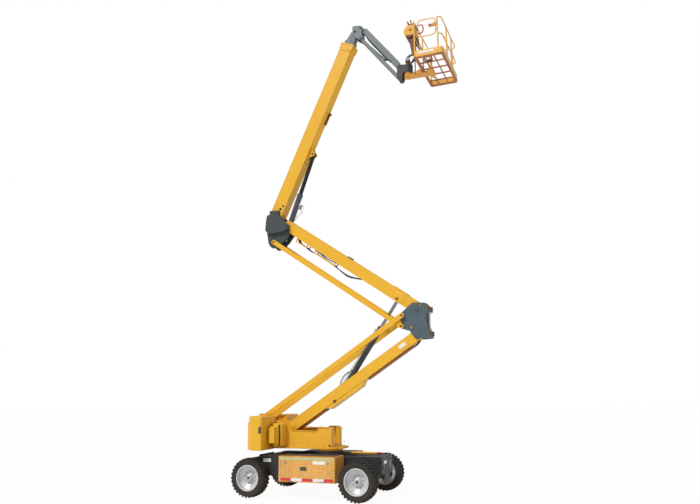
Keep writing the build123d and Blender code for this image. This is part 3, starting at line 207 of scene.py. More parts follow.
finishes = [
    (darkPaint, "chassis_frame rear_axle front_axle tie_rod steering_knuckle_right steering_knuckle_left"),
    (bareSteel, "slew_ring"),
    (chassisYellow, "side_box_right side_box_left"),
    (knuckleBlueGrey, "lower_knuckle"),
    (coverDarkGrey, "upper_knuckle"),
    (cylinderDark, "tower_cylinder_barrel jib_cylinder_barrel jib_end_bracket"),
    (chrome, "tower_cylinder_rod jib_cylinder_rod"),
    (cylinderGrey, "main_cylinder_barrel"),
    (bootBlack, "main_cylinder_rod"),
    (jibGrey, "jib_head jib_arm jib_link"),
    (engineGrey, "engine_block"),
    # the platform floor takes the painted-shade orange-brown
    (yellowInShade, "platform_floor"),
    (supportOrange, "platform_support"),
    (platformYellow, "platform_rails platform_gate"),
    (consoleYellow, "control_console"),
]
nodePaint = {name: finish for finish, names in finishes for name in names.split()}
for name, node in nodes.items():
    finish = nodePaint.get(name, yellowPaint)
    if name.startswith("tyre_"):
        finish = tyreRubber
    if name.startswith("rim_"):
        finish = rimSilver
    node.data.materials.clear()
    node.data.materials.append(finish)


# making of pieces
def newPiece(name, mesh, material, body, smooth=None):
    # a finished piece: its place is in its mesh and its object stands at the origin
    data = bpy.data.meshes.new(name)
    bmesh.ops.remove_doubles(mesh, verts=mesh.verts, dist=0.00002)
    bmesh.ops.recalc_face_normals(mesh, faces=mesh.faces)
    mesh.to_mesh(data)
    mesh.free()
    piece = bpy.data.objects.new(name, data)
    bpy.context.scene.collection.objects.link(piece)
    for one in material if isinstance(material, (list, tuple)) else [material]:
        data.materials.append(one)
    if smooth:
        data.shade_smooth()
        data.set_sharp_from_angle(angle=math.radians(smooth))
    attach(piece, body)
    return piece


def addBox(mesh, centre, size, turn=None, round=0.0, segments=2):
    # block with rounded edges; turn is a rotation matrix
    made = bmesh.ops.create_cube(mesh, size=1)["verts"]
    bmesh.ops.scale(mesh, vec=Vector(size), verts=made)
    if round:
        edges = list({edge for vert in made for edge in vert.link_edges})
        done = bmesh.ops.bevel(mesh, geom=edges, offset=round, affect="EDGES", segments=segments, profile=0.5,
                               material=-1)
        made = list({vert for face in done["faces"] for vert in face.verts} | {v for v in made if v.is_valid})
    if turn:
        bmesh.ops.transform(mesh, matrix=turn.to_4x4(), verts=made)
    bmesh.ops.translate(mesh, vec=Vector(centre), verts=made)
    return made


def addRod(mesh, start, end, radius, sides=16, endRadius=None, round=0.0):
    # round bar or cone between two points
    start, end = Vector(start), Vector(end)
    along = end - start
    made = bmesh.ops.create_cone(mesh, cap_ends=True, segments=sides, radius1=radius,
                                 radius2=radius if endRadius is None else endRadius,
                                 depth=along.length)["verts"]
    if round:
        rims = list({edge for vert in made for edge in vert.link_edges
                     if abs(edge.verts[0].co.z - edge.verts[1].co.z) < 1e-6})
        done = bmesh.ops.bevel(mesh, geom=rims, offset=round, affect="EDGES", segments=2, profile=0.5,
                               material=-1)
        made = list({vert for face in done["faces"] for vert in face.verts} | {v for v in made if v.is_valid})
    turn = along.to_track_quat("Z", "Y").to_matrix().to_4x4()
    bmesh.ops.transform(mesh, matrix=Matrix.Translation((start + end) / 2) @ turn, verts=made)
    return made


def addBolt(mesh, centre, outward, radius=0.014, height=0.01, washer=True):
    # hexagon head on a washer
    outward = Vector(outward).normalized()
    centre = Vector(centre)
    if washer:
        addRod(mesh, centre - outward * 0.002, centre + outward * height * 0.25, radius * 1.35, 20)
    addRod(mesh, centre - outward * 0.002, centre + outward * height, radius, 6, round=radius * 0.12)


def addSpin(mesh, profile, centre, axis, steps=48):
    # turned ring or disc from a profile of (along the axis, radius)
    axis = Vector(axis).normalized()
    across = axis.orthogonal().normalized()
    verts = [mesh.verts.new(Vector(centre) + axis * along + across * radius) for along, radius in profile]
    edges = [mesh.edges.new(pair) for pair in zip(verts, verts[1:])]
    bmesh.ops.spin(mesh, geom=verts + edges, cent=Vector(centre), axis=axis, angle=2 * math.pi, steps=steps,
                   use_merge=True)


def hose(name, points, radius, material, body, sides=4):
    # clipped hose or pipe: a smooth curve through its clips, made a mesh
    curve = bpy.data.curves.new(name + "Line", "CURVE")
    curve.dimensions = "3D"
    curve.bevel_depth = radius
    curve.bevel_resolution = sides
    curve.use_fill_caps = True
    curve.resolution_u = 6
    spline = curve.splines.new("NURBS")
    spline.points.add(len(points) - 1)
    for place, point in zip(spline.points, points):
        place.co = (*point, 1)
    spline.order_u = 3
    spline.use_endpoint_u = True
    holder = bpy.data.objects.new(name + "Line", curve)
    data = bpy.data.meshes.new_from_object(holder)
    data.name = name
    bpy.data.objects.remove(holder)
    piece = bpy.data.objects.new(name, data)
    bpy.context.scene.collection.objects.link(piece)
    data.materials.clear()
    data.materials.append(material)
    data.shade_smooth()
    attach(piece, body)
    return piece


def fromPoint(start, steps):
    # points given by their steps from one point
    return [start + Vector(step) for step in steps]


def addPost(mesh, x, y, low, high, radius, sides=16, **more):
    # upright rod
    addRod(mesh, (x, y, low), (x, y, high), radius, sides, **more)


def surface(name, start, toward):
    # where a line from outside first meets a CAD node
    hit, place = nodes[name].ray_cast(Vector(start), Vector(toward))[:2]
    return place if hit else Vector(start)


right = Vector((0, -1, 0))
upward = Vector((0, 0, 1))
forward = Vector((1, 0, 0))

# wheels
tyreShape = {
    "radius": 0.488,
    "halfWidth": 0.1765,
    "lugs": 30,
    "lugHeight": 0.036,
    "lugWidth": 0.062,
    "slant": 26,
    # carcass from the inner bead to the outer one: across, radius
    "profile": [(-0.150, 0.306), (-0.160, 0.318), (-0.172, 0.352), (-0.1755, 0.388), (-0.171, 0.420),
                (-0.150, 0.446), (-0.105, 0.455), (0.0, 0.458), (0.105, 0.455), (0.150, 0.446),
                (0.171, 0.420), (0.1755, 0.388), (0.172, 0.352), (0.160, 0.318), (0.150, 0.306)],
}


def makeTyre(name, centre, outward, body):
    mesh = bmesh.new()
    shape = tyreShape
    addSpin(mesh, shape["profile"] + [shape["profile"][0]], centre, outward, steps=72)
    bmesh.ops.remove_doubles(mesh, verts=mesh.verts, dist=0.0002)
    # sidewall rings
    for side in (-1, 1):
        for reach, radius in ((0.1725, 0.345), (0.1752, 0.402)):
            ring = ((-0.004, -0.005), (0.0015, -0.002), (0.0015, 0.002), (-0.004, 0.005))
            addSpin(mesh, [(side * (reach + out), radius + up) for out, up in ring], centre, outward,
                    steps=72)
    lift = shape["radius"] - shape["lugHeight"] / 2 - 0.006
    for n in range(shape["lugs"]):
        for side in (-1, 1):
            turn = 2 * math.pi * (n + (0.5 if side > 0 else 0)) / shape["lugs"]
            made = bmesh.ops.create_cube(mesh, size=1)["verts"]
            size = (shape["lugWidth"], shape["halfWidth"] * 0.98, shape["lugHeight"] + 0.012)
            bmesh.ops.scale(mesh, vec=size, verts=made)
            # the lug narrows upwards and hooks down over the shoulder
            for vert in made:
                if vert.co.z > 0:
                    vert.co.x *= 0.80
                    vert.co.y *= 0.95
                if vert.co.y * side > 0:
                    vert.co.z -= 0.014
                    vert.co.x *= 0.9
            edges = list({edge for vert in made for edge in vert.link_edges
                          if edge.verts[0].co.z > 0 or edge.verts[1].co.z > 0})
            done = bmesh.ops.bevel(mesh, geom=edges, offset=0.006, affect="EDGES", segments=2, profile=0.5,
                                   material=-1)
            made = list({v for face in done["faces"] for v in face.verts} | {v for v in made if v.is_valid})
            bmesh.ops.translate(mesh, vec=(0, side * shape["halfWidth"] * 0.49, 0), verts=made)
            slant = Matrix.Rotation(side * math.radians(shape["slant"]) * 0.9, 4, "Z")
            bmesh.ops.transform(mesh, matrix=slant, verts=made)
            bmesh.ops.translate(mesh, vec=(0, 0, lift), verts=made)
            bmesh.ops.transform(mesh, matrix=Matrix.Rotation(turn, 4, "Y"), verts=made)
            bmesh.ops.translate(mesh, vec=centre, verts=made)
            # shoulder block down the sidewall
            low = addBox(mesh, (0, side * (shape["halfWidth"] - 0.008), shape["radius"] - 0.072),
                         (0.046, 0.017, 0.052), round=0.005)
            place = Matrix.Translation(centre) @ Matrix.Rotation(turn - side * 0.17, 4, "Y")
            bmesh.ops.transform(mesh, matrix=place, verts=low)
    return newPiece("tread" + name, mesh, tyreRubber, body, smooth=32)


wheelTrim = {
    "nuts": 9,
    "nutCircle": 0.141,
    "capBolts": 8,
    "capCircle": 0.089,
    # turned profiles: along the axle, radius
    "cap": [(0.0985, 0.0), (0.112, 0.0), (0.112, 0.030), (0.104, 0.040), (0.0985, 0.040)],
    "outerLip": [(0.150, 0.296), (0.1585, 0.300), (0.1635, 0.312), (0.160, 0.3205), (0.1565, 0.3205),
                 (0.157, 0.309), (0.150, 0.302)],
    "discStep": [(-0.004, 0.176), (0.004, 0.184), (0.010, 0.196), (0.006, 0.197), (-0.004, 0.188)],
}


def spokeAt(share):
    # direction from the axle at a share of a turn
    turn = 2 * math.pi * share
    return Vector((math.sin(turn), 0, math.cos(turn)))


for end in ("front", "rear"):
    for hand, sign in (("right", -1), ("left", 1)):
        body = f"wheel_{end}_{hand}"
        label = end.capitalize() + hand.capitalize()
        centre = pin(f"wheel_{end}_{hand}_spin")
        outward = Vector((0, sign, 0))
        tyre = makeTyre(label, centre, outward, body)
        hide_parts(f"tyre_{end}_{hand}")
        # wheel nuts on the dished disc, and the hub's bolted cap
        mesh = bmesh.new()
        for n in range(wheelTrim["nuts"]):
            spoke = spokeAt(n / wheelTrim["nuts"])
            addBolt(mesh, centre + spoke * wheelTrim["nutCircle"], outward, radius=0.013, height=0.020)
        for n in range(wheelTrim["capBolts"]):
            spoke = spokeAt((n + 0.5) / wheelTrim["capBolts"])
            addBolt(mesh, centre + outward * 0.026 + spoke * wheelTrim["capCircle"], outward, radius=0.0075,
                    height=0.008, washer=False)
        newPiece("wheelNuts" + label, mesh, boltSteel, body, smooth=30)
        mesh = bmesh.new()
        addSpin(mesh, wheelTrim["cap"], centre, outward, steps=32)
        addRod(mesh, centre + outward * 0.110, centre + outward * 0.122, 0.012, 6, round=0.002)
        newPiece("hubCap" + label, mesh, hubDark, body, smooth=30)
        mesh = bmesh.new()
        addSpin(mesh, wheelTrim["outerLip"], centre, outward, steps=64)
        addSpin(mesh, wheelTrim["discStep"], centre, outward, steps=48)
        addRod(mesh, centre + outward * 0.080 + upward * 0.262, centre + outward * 0.147 + upward * 0.270,
               0.006, 10)
        newPiece("rimLip" + label, mesh, rimSilver, body, smooth=30)
print("wheels ready")

# booms: their own lines at rest
lowerLine = direction(foot, lowerTip)
riserLine = direction(riserTip, riserFoot)
mainLine = Vector(joints["telescope"]["axis"]).normalized()
jibLine = direction(jibPivot, jibTip)
towerLine = Vector(joints["tower_rod_slide"]["axis"]).normalized()
mainRodLine = Vector(joints["main_rod_slide"]["axis"]).normalized()


def along(origin, line, reach, lift=0.0, y=0.0):
    # point at a reach along a boom's line, lifted square to it, at its own distance from the middle
    return origin + line * reach + crosswise(line) * lift + Vector((0, y, 0))


def onLine(origin, line):
    # maker of points along one boom: reach, lift square to it, distance from the middle
    return lambda reach, lift=0.0, y=0.0: along(origin, line, reach, lift, y)


onLower = onLine(foot, lowerLine)
onRiser = onLine(riserTip, riserLine)
onMain = onLine(mainPivot, mainLine)
onJib = onLine(jibPivot, jibLine)


def tilt(line):
    # turn that lays X along a boom's line
    return Matrix((line, (0, 1, 0), crosswise(line))).transposed()


def addPinHead(mesh, centre, outward, radius, keeper=None, height=0.012):
    # pin's head with a chamfer, and a keeper plate held by two bolts
    addRod(mesh, centre - outward * 0.004, centre + outward * height, radius, 28, round=0.003)
    addRod(mesh, centre + outward * (height - 0.001), centre + outward * (height + 0.003), radius * 0.35, 16)
    if keeper:
        side = Vector(keeper).normalized()
        middle = centre + side * radius * 1.15
        turn = Matrix((side, outward, side.cross(outward))).transposed()
        addBox(mesh, middle + outward * 0.004, (radius * 0.9, 0.010, radius * 1.3), turn, round=0.002)
        for lift in (-0.4, 0.4):
            addBolt(mesh, middle + side.cross(outward) * radius * lift + outward * 0.009, outward,
                    radius=0.008, height=0.008, washer=False)


def addPinPair(mesh, centre, face, radius, keeper=None, height=0.012):
    # a pin's two heads, one on each side
    for side in (-1, 1):
        addPinHead(mesh, Vector((centre.x, side * face, centre.z)), Vector((0, side, 0)), radius, keeper,
                   height)


def addBoltPair(mesh, x, z, face, **more):
    # the same bolt on both sides
    for side in (-1, 1):
        addBolt(mesh, (x, side * face, z), (0, side, 0), **more)


def addSeam(mesh, points, radius=0.0045):
    # weld bead or rolled edge through its points
    for start, end in zip(points, points[1:]):
        addRod(mesh, start, end, radius, 8)


def boxPiece(name, centre, size, material, body, smooth=None, turn=None, round=0.001):
    # a piece that is one block
    mesh = bmesh.new()
    addBox(mesh, centre, size, turn, round)
    return newPiece(name, mesh, material, body, smooth)


def addBoomSeams(mesh, on, start, end, lift, face):
    # welds along the four corners of a boom
    for side in (-1, 1):
        for height in (-lift, lift):
            addSeam(mesh, [on(start, height, side * face), on(end, height, side * face)])


def addBentPlate(mesh, origin, profile, width, lap, round=0.0):
    # plate bent along its profile of (forward, up)
    for first, second in zip(profile, profile[1:]):
        start, end = (origin + Vector((x, 0, z)) for x, z in (first, second))
        size = ((end - start).length + lap, width, 0.008)
        addBox(mesh, (start + end) / 2, size, tilt(direction(start, end)), round=round)


def linkBosses(name, ends, face, radius, body):
    # raised rings around the pins of a pair of links
    mesh = bmesh.new()
    ring = [(face, 0.030), (face + 0.007, 0.032), (face + 0.007, radius), (face, radius + 0.004)]
    for side in (-1, 1):
        for end in ends:
            addSpin(mesh, ring, end, Vector((0, side, 0)), steps=32)
    newPiece(name, mesh, yellowPaint, body, smooth=35)


def twoTone(name, first, second, line, split, **more):
    # paint that changes where the line's own coordinate passes the split
    material = paint(name, first, **more)
    tree = material.node_tree
    base = tree.nodes["Principled BSDF"].inputs["Base Color"]
    place = addNode(tree, "TexCoord").outputs["Object"]
    reach = addNode(tree, "VectorMath", {0: place, 1: line}, operation="DOT_PRODUCT")
    past = addNode(tree, "Math", {0: reach.outputs["Value"], 1: split}, operation="GREATER_THAN")
    spots = addNode(tree, "TexNoise", {"Scale": 4, "Vector": place})
    other = addRamp(tree, spots.outputs["Fac"], [c * 0.88 for c in second], second)
    tree.links.new(addMix(tree, past.outputs["Value"], base.links[0].from_socket, other), base)
    return material


def repaint(node, material):
    nodes[node].data.materials[0] = material


boomYellow = (0.80, 0.43, 0.022)
headGrey = (0.175, 0.195, 0.205)
mainLength = 5.50
repaint("boom_extension", twoTone("extensionPaint", boomYellow, headGrey, mainLine,
                                  mainPivot.dot(mainLine) + mainLength, rough=0.42, coat=0.08, vary=0.05,
                                  bump=0.02, edge=0.006))
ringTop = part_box("slew_ring")[1].z
repaint("turntable_frame", twoTone("turntablePaint", boomYellow, (0.02, 0.02, 0.022), (0, 0, -1),
                                   -ringTop - 0.03, rough=0.42, coat=0.08, vary=0.05, scale=1.6, bump=0.02,
                                   edge=0.006))
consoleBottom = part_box("control_console")[1].z - 0.35
repaint("control_console", twoTone("consolePaint", (0.76, 0.38, 0.03), (0.17, 0.042, 0.012), (0, 0, -1),
                                   -consoleBottom, rough=0.45, vary=0.06, bump=0.08, edge=0.006))


# side boxes
boxTrim = {
    "studStepX": 0.104,
    "studStepZ": 0.070,
    "bandHeight": 0.060,
    "stripHeight": 0.072,
}


def dressSideBox(hand, sign):
    low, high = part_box(f"side_box_{hand}")
    middle = (low + high) / 2
    face = surface(f"side_box_{hand}", (middle.x + 0.1, sign * 3, middle.z + 0.1), (0, -sign, 0)).y
    label = hand.capitalize()
    body = "chassis"
    lastRow = high.z - 0.105
    mesh = bmesh.new()
    x = low.x + 0.045
    column = 0
    while x < high.x - 0.035:
        z = low.z + 0.125 + (0.035 if column % 2 else 0)
        while z < lastRow:
            addBox(mesh, (x, face + sign * 0.0008, z), (0.056, 0.005, 0.018))
            z += boxTrim["studStepZ"]
        x += boxTrim["studStepX"]
        column += 1
    newPiece("treadStuds" + label, mesh, studPale, body)
    boxPiece("stepBand" + label, (middle.x, face + sign * 0.0015, high.z - 0.055),
             (high.x - low.x - 0.05, 0.005, boxTrim["bandHeight"]), stripGreen, body)
    boxPiece("reflectiveStrip" + label, (middle.x, face + sign * 0.0015, low.z + 0.060),
             (high.x - low.x - 0.10, 0.004, boxTrim["stripHeight"]), reflector, body)
    mesh = bmesh.new()
    for x in (low.x + 0.34, high.x - 0.34):
        addBox(mesh, (x, face + sign * 0.006, low.z + 0.024), (0.10, 0.016, 0.022), round=0.004)
        addRod(mesh, (x - 0.06, face + sign * 0.010, low.z + 0.012),
               (x + 0.06, face + sign * 0.010, low.z + 0.012), 0.008, 12)
    for x in (low.x + 0.20, high.x - 0.20):
        addRod(mesh, (x, face, lastRow - 0.05), (x, face + sign * 0.008, lastRow - 0.05), 0.030, 24,
               round=0.002)
        addBox(mesh, (x, face + sign * 0.011, lastRow - 0.05), (0.044, 0.010, 0.014), round=0.004)
    newPiece("boxLatches" + label, mesh, boltSteel, body, smooth=30)
    boxPiece("blankPlate" + label, (high.x - 0.43, face + sign * 0.0035, high.z - 0.145),
             (0.34, 0.004, 0.075), plateWhite, body)
    boxPiece("darkPlate" + label, (middle.x - 0.08, face + sign * 0.0035, middle.z + 0.015),
             (0.17, 0.004, 0.085), plateDark, body)
    # non-slip strips on top
    mesh = bmesh.new()
    for step in range(5):
        y = sign * (0.50 + 0.10 * step)
        addBox(mesh, (middle.x, y, high.z + 0.0015), (high.x - low.x - 0.12, 0.06, 0.004), round=0.001)
    newPiece("topGrip" + label, mesh, plateDark, body)


dressSideBox("right", -1)
dressSideBox("left", 1)

# chassis
frameLow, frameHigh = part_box("chassis_frame")
ringLow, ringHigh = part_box("slew_ring")
deckTop = ringLow.z
ringCentre = (ringLow + ringHigh) / 2
mesh = bmesh.new()
for y in (-0.34, 0.34):
    for x in (frameHigh.x - 0.30, frameHigh.x - 0.62):
        addBolt(mesh, (x, y, deckTop), upward, radius=0.014, height=0.012)
for y in (-0.36, -0.18, 0.18, 0.36):
    addBolt(mesh, (frameHigh.x, y, deckTop - 0.05), forward, radius=0.012, height=0.010)
newPiece("chassisBolts", mesh, boltSteel, "chassis", smooth=30)

mesh = bmesh.new()
addBox(mesh, (-2.12, frameLow.y - 0.0015, 0.900), (0.22, 0.004, 0.085), round=0.001)
addBox(mesh, (frameHigh.x + 0.002, -0.15, 0.86), (0.004, 0.22, 0.075), round=0.001)
newPiece("chassisBlankPlates", mesh, plateWhite, "chassis")
boxPiece("frontBlankPlate", (frameHigh.x + 0.002, 0.24, 0.78), (0.004, 0.075, 0.19), plateBlue, "chassis")

# towing bar's coloured sleeve, with its red end
mesh = bmesh.new()
barLow = Vector((-0.2299, 0.25, deckTop + 0.034))
addRod(mesh, barLow + forward * 0.02, barLow + forward * 0.76, 0.0275, 24, round=0.002)
newPiece("towBarSleeve", mesh, yellowPaint, "chassis", smooth=30)
mesh = bmesh.new()
addRod(mesh, barLow + forward * 0.762, barLow + forward * 0.857, 0.0285, 24, round=0.003)
newPiece("towBarEnd", mesh, gripRed, "chassis", smooth=30)

# hoses out of the slewing ring on to the deck
for n, (y, spread) in enumerate(((0.06, 0.0), (0.0, 0.05), (-0.07, 0.02), (-0.13, 0.09))):
    start = Vector((ringCentre.x + 0.40, y, deckTop + 0.020))
    steps = ((0, 0, 0), (0.10, 0.01, 0.012), (0.24, -0.03 - spread, 0.006), (0.42, -0.08 - spread, -0.022),
             (0.66, -0.10, -0.028), (0.86, -0.02 - spread / 2, -0.030))
    hose(f"deckHose{n}", fromPoint(start, steps), 0.011, hoseBlack, "chassis")
for n, y in enumerate((-0.14, -0.05, 0.10)):
    start = Vector((ringCentre.x - 0.40, y, deckTop + 0.03))
    steps = ((0, 0, 0), (-0.12, 0.0, 0.016), (-0.32, 0.03 * (n - 1), -0.006), (-0.62, 0.05 * (n - 1), -0.016),
             (-0.95, 0.02, -0.018))
    hose(f"rearDeckHose{n}", fromPoint(start, steps), 0.011, hoseBlack, "chassis")

# bent hand rod and shackles on the front guard
mesh = bmesh.new()
for side in (-1, 1):
    middle = Vector((frameHigh.x + 0.002, side * 0.30, 0.52))
    addBox(mesh, middle + Vector((0.014, 0, 0)), (0.030, 0.026, 0.10), round=0.004)
    addRod(mesh, middle + Vector((0.018, -0.035, -0.02)), middle + Vector((0.018, 0.035, -0.02)), 0.010, 14)
newPiece("frontEyes", mesh, darkPaint, "chassis", smooth=30)
guardRod = ((0.004, -0.36, 0.90), (0.030, -0.36, 0.885), (0.034, -0.35, 0.80), (0.030, -0.30, 0.72),
            (0.030, -0.24, 0.70), (0.004, -0.22, 0.70))
hose("guardRod", fromPoint(Vector((frameHigh.x, 0, 0)), guardRod), 0.009, boltSteel, "chassis")

# brake lines along the front axle
for name, sign in (("frontLineRight", -1), ("frontLineLeft", 1)):
    hose(name, [(0.375, sign * 0.12, 0.62), (0.372, sign * 0.25, 0.585), (0.372, sign * 0.45, 0.565),
                (0.380, sign * 0.62, 0.560), (0.41, sign * 0.67, 0.575)], 0.007, hoseBlack, "chassis")
print("chassis ready")

# slewing ring
ringTrim = {
    "teeth": 84,
    "toothCircle": 0.387,
    "toothLift": 0.044,
    "tooth": (0.012, 0.014, 0.038),
    "bolts": 12,
    "boltCircle": 0.40,
}
mesh = bmesh.new()
toothCentre = Vector((ringCentre.x, ringCentre.y, deckTop + ringTrim["toothLift"]))
for n in range(ringTrim["teeth"]):
    turn = 2 * math.pi * n / ringTrim["teeth"]
    spoke = Vector((math.cos(turn), math.sin(turn), 0))
    centre = toothCentre + spoke * ringTrim["toothCircle"]
    addBox(mesh, centre, ringTrim["tooth"], Matrix.Rotation(turn, 3, "Z"))
newPiece("ringTeeth", mesh, bareSteel, "chassis")

# turntable
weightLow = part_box("counterweight")[0]
coverLow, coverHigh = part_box("cover_right")
hoodLow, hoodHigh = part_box("engine_hood")
plateFace = 0.345
mesh = bmesh.new()
for centre, radius, keeper in ((foot, 0.045, (0.6, 0, -0.8)), (lowerLinkFoot, 0.028, (0.9, 0, 0.4))):
    addPinPair(mesh, centre, plateFace, radius, keeper)
newPiece("turntablePins", mesh, bareSteel, "turntable", smooth=30)
mesh = bmesh.new()
for x, z in ((-0.50, 1.63), (-0.45, 1.30), (-0.62, 1.63), (-1.60, 1.27), (-1.15, 1.27), (-0.75, 1.27)):
    addBoltPair(mesh, x, z, plateFace, radius=0.011, height=0.009)
for x in (coverLow.x + 0.05, coverHigh.x - 0.05):
    for z in (coverLow.z + 0.02, coverHigh.z - 0.04):
        addBolt(mesh, (x, -plateFace - 0.004, z), right, radius=0.008, height=0.007)
for n in range(ringTrim["bolts"]):
    turn = 2 * math.pi * n / ringTrim["bolts"]
    spoke = Vector((math.cos(turn), math.sin(turn), 0))
    centre = Vector((ringCentre.x, 0, 1.21)) + spoke * ringTrim["boltCircle"]
    addBolt(mesh, centre, upward, radius=0.014, height=0.012)
newPiece("turntableBolts", mesh, boltSteel, "turntable", smooth=30)

# rolled edges of the side plates, and a dark bar between their front posts, painted shade standing in for the
# dark slot at the bottom of the front face
mesh = bmesh.new()
for side in (-1, 1):
    y = side * (plateFace + 0.0005)
    edge = [(-2.645, 2.046), (-2.412, 2.046), (-2.312, 1.846), (-1.94, 1.826), (-1.672, 1.626),
            (-0.972, 1.606), (-0.862, 1.706), (-0.602, 1.706), (-0.524, 1.616), (-0.524, 1.21)]
    addSeam(mesh, [(x, y, z) for x, z in edge], 0.007)
newPiece("plateEdges", mesh, yellowPaint, "turntable", smooth=40)
# painted shade: a dark bar where the front face shows only a shaded slot
boxPiece("postSlotShade", (-0.575, -0.05, 1.250), (0.05, 0.62, 0.050), plateDark, "turntable",
         smooth=30, round=0.008)

# painted shade: a flat dark sheet on the counterweight's right flank, standing in for the shaded pocket of
# the grab handle
boxPiece("handlePocketShade", (-2.21, weightLow.y - 0.001, 1.66), (0.075, 0.004, 0.17), plateDark, "turntable",
         round=0.0015)

# blank plate at the tail
boxPiece("tailBlankPlate", (weightLow.x - 0.002, 0, 1.62), (0.006, 0.42, 0.16), plateWhite, "turntable",
         round=0.002)

# hood: pressed ribs, latches and the dark grille behind its slots
mesh = bmesh.new()
hoodMiddle = (hoodLow + hoodHigh) / 2
for n in range(3):
    x = hoodMiddle.x - 0.30 + 0.30 * n
    addBox(mesh, (x, hoodHigh.y - 0.010, 1.40), (0.27, 0.004, 0.24))
newPiece("hoodGrille", mesh, plateDark, "engine_hood")
mesh = bmesh.new()
for n in range(4):
    x = hoodMiddle.x - 0.45 + 0.30 * n
    addBox(mesh, (x, 0.69, hoodHigh.z - 0.006), (0.045, 0.50, 0.014), round=0.004)
newPiece("hoodRibs", mesh, yellowPaint, "engine_hood", smooth=30)
mesh = bmesh.new()
for x in (hoodMiddle.x - 0.48, hoodMiddle.x + 0.48):
    addBox(mesh, (x, hoodHigh.y + 0.003, 1.27), (0.11, 0.010, 0.045), round=0.003)
    addBox(mesh, (x, hoodHigh.y + 0.010, 1.27), (0.075, 0.010, 0.018), round=0.004)
newPiece("hoodLatches", mesh, plateDark, "engine_hood", smooth=30)

# engine: rocker cover, pipes and belt pulley on the plain block
engineLow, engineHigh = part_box("engine_block")
mesh = bmesh.new()
middle = (engineLow + engineHigh) / 2
addBox(mesh, (middle.x, 0.66, engineHigh.z + 0.018), (0.62, 0.18, 0.045), round=0.012)
for n in range(4):
    x = middle.x - 0.24 + 0.16 * n
    addRod(mesh, (x, 0.78, 1.30), (x, 0.915, 1.40), 0.026, 16)
addRod(mesh, (middle.x - 0.30, 0.915, 1.41), (middle.x + 0.30, 0.915, 1.41), 0.032, 18, round=0.004)
addRod(mesh, (engineHigh.x - 0.17, 0.68, 1.36), (engineHigh.x - 0.12, 0.68, 1.36), 0.10, 32, round=0.006)
addRod(mesh, (engineHigh.x - 0.30, 0.68, 1.36), (engineHigh.x - 0.11, 0.68, 1.36), 0.030, 20, round=0.003)
newPiece("engineDress", mesh, engineGrey, "turntable", smooth=30)
print("turntable ready")

# lower boom and its links
lowerTrim = {
    "cornerLift": 0.1335,
    "cornerFace": 0.1495,
    "margin": 0.13,
    "plate": (0.26, 0.006, 0.19),
    "plateFace": 0.1505,
    "plateReach": 0.42,
    "trayLift": -0.172,
    "trayWidth": 0.15,
}
mesh = bmesh.new()
lowerLength = (lowerTip - foot).length
addBoomSeams(mesh, onLower, lowerTrim["margin"], lowerLength - lowerTrim["margin"], lowerTrim["cornerLift"],
             lowerTrim["cornerFace"])
for side in (-1, 1):
    for reach in (lowerTrim["plateReach"], lowerLength - lowerTrim["plateReach"]):
        centre = onLower(reach, 0, side * lowerTrim["plateFace"])
        addBox(mesh, centre, lowerTrim["plate"], tilt(lowerLine), round=0.002)
newPiece("lowerBoomSeams", mesh, yellowPaint, "lower_boom", smooth=40)
mesh = bmesh.new()
addPinPair(mesh, towerLow, 0.149, 0.035, lowerLine)
newPiece("towerPinHeads", mesh, plateDark, "lower_boom", smooth=30)
boxPiece("lowerBoomBlankPlate", onLower(4.21, 0.01, -0.1555), (0.21, 0.006, 0.095), plateWhite,
         "lower_boom", turn=tilt(lowerLine))
# cable tray under the boom, on hangers, in the painted-shade orange-brown
mesh = bmesh.new()
for start, end in ((0.35, 1.50), (2.95, 4.42)):
    middle = onLower((start + end) / 2, lowerTrim["trayLift"], -0.04)
    addBox(mesh, middle, (end - start, lowerTrim["trayWidth"], 0.034), tilt(lowerLine), round=0.006)
    for share in (0.1, 0.5, 0.9):
        addBox(mesh, onLower(start + (end - start) * share, -0.148, -0.04), (0.04, 0.17, 0.04),
               tilt(lowerLine), round=0.003)
newPiece("lowerTray", mesh, yellowInShade, "lower_boom", smooth=30)
trayClips = ((4.40, -0.176, 1), (4.48, -0.182, 1), (4.56, -0.178, 1), (4.64, -0.142, 1.2))
footClips = ((1.46, -0.180, 1), (1.53, -0.186, 1), (1.57, -0.176, 1), (1.60, -0.142, 1))
for n, y in enumerate((-0.085, -0.055, -0.02, 0.015)):
    for place, clips in (("Tray", trayClips), ("Foot", footClips)):
        hose(f"lower{place}Hose{n}", [onLower(reach, lift, y * wide) for reach, lift, wide in clips],
             0.010, hoseBlack, "lower_boom")

lowerLinkTip = lowerLinkFoot + (lowerTip - foot)
linkBosses("lowerLinkBosses", (lowerLinkFoot, lowerLinkTip), 0.289, 0.052, "lower_links")

# tower cylinder
towerTrim = {
    "mouth": 2.305,
    "pipeOut": 0.098,
    "pipeSide": -0.020,
    "pipeRadius": 0.010,
}
mesh = bmesh.new()
mouth = towerTrim["mouth"]
for reach, size, length in ((0.10, 0.082, 0.05), (1.15, 0.080, 0.020), (mouth - 0.075, 0.083, 0.07)):
    start = towerLow + towerLine * reach
    addRod(mesh, start, start + towerLine * length, size, 40, round=0.004)
newPiece("towerCylinderBands", mesh, cylinderDark, "tower_barrel", smooth=30)
lift = crosswise(towerLine)
mesh = bmesh.new()
pipe = towerLow + lift * towerTrim["pipeOut"] + Vector((0, towerTrim["pipeSide"], 0))
addRod(mesh, pipe + towerLine * 0.20, pipe + towerLine * (mouth - 0.10), towerTrim["pipeRadius"], 12)
for reach in (0.24, 0.9, 1.5, mouth - 0.14):
    addBox(mesh, pipe - lift * 0.010 + towerLine * reach, (0.03, 0.04, 0.030), tilt(towerLine), round=0.004)
addBox(mesh, towerLow + lift * 0.105 + towerLine * 0.34, (0.14, 0.07, 0.055), tilt(towerLine), round=0.008)
newPiece("towerCylinderPipe", mesh, boltSteel, "tower_barrel", smooth=30)
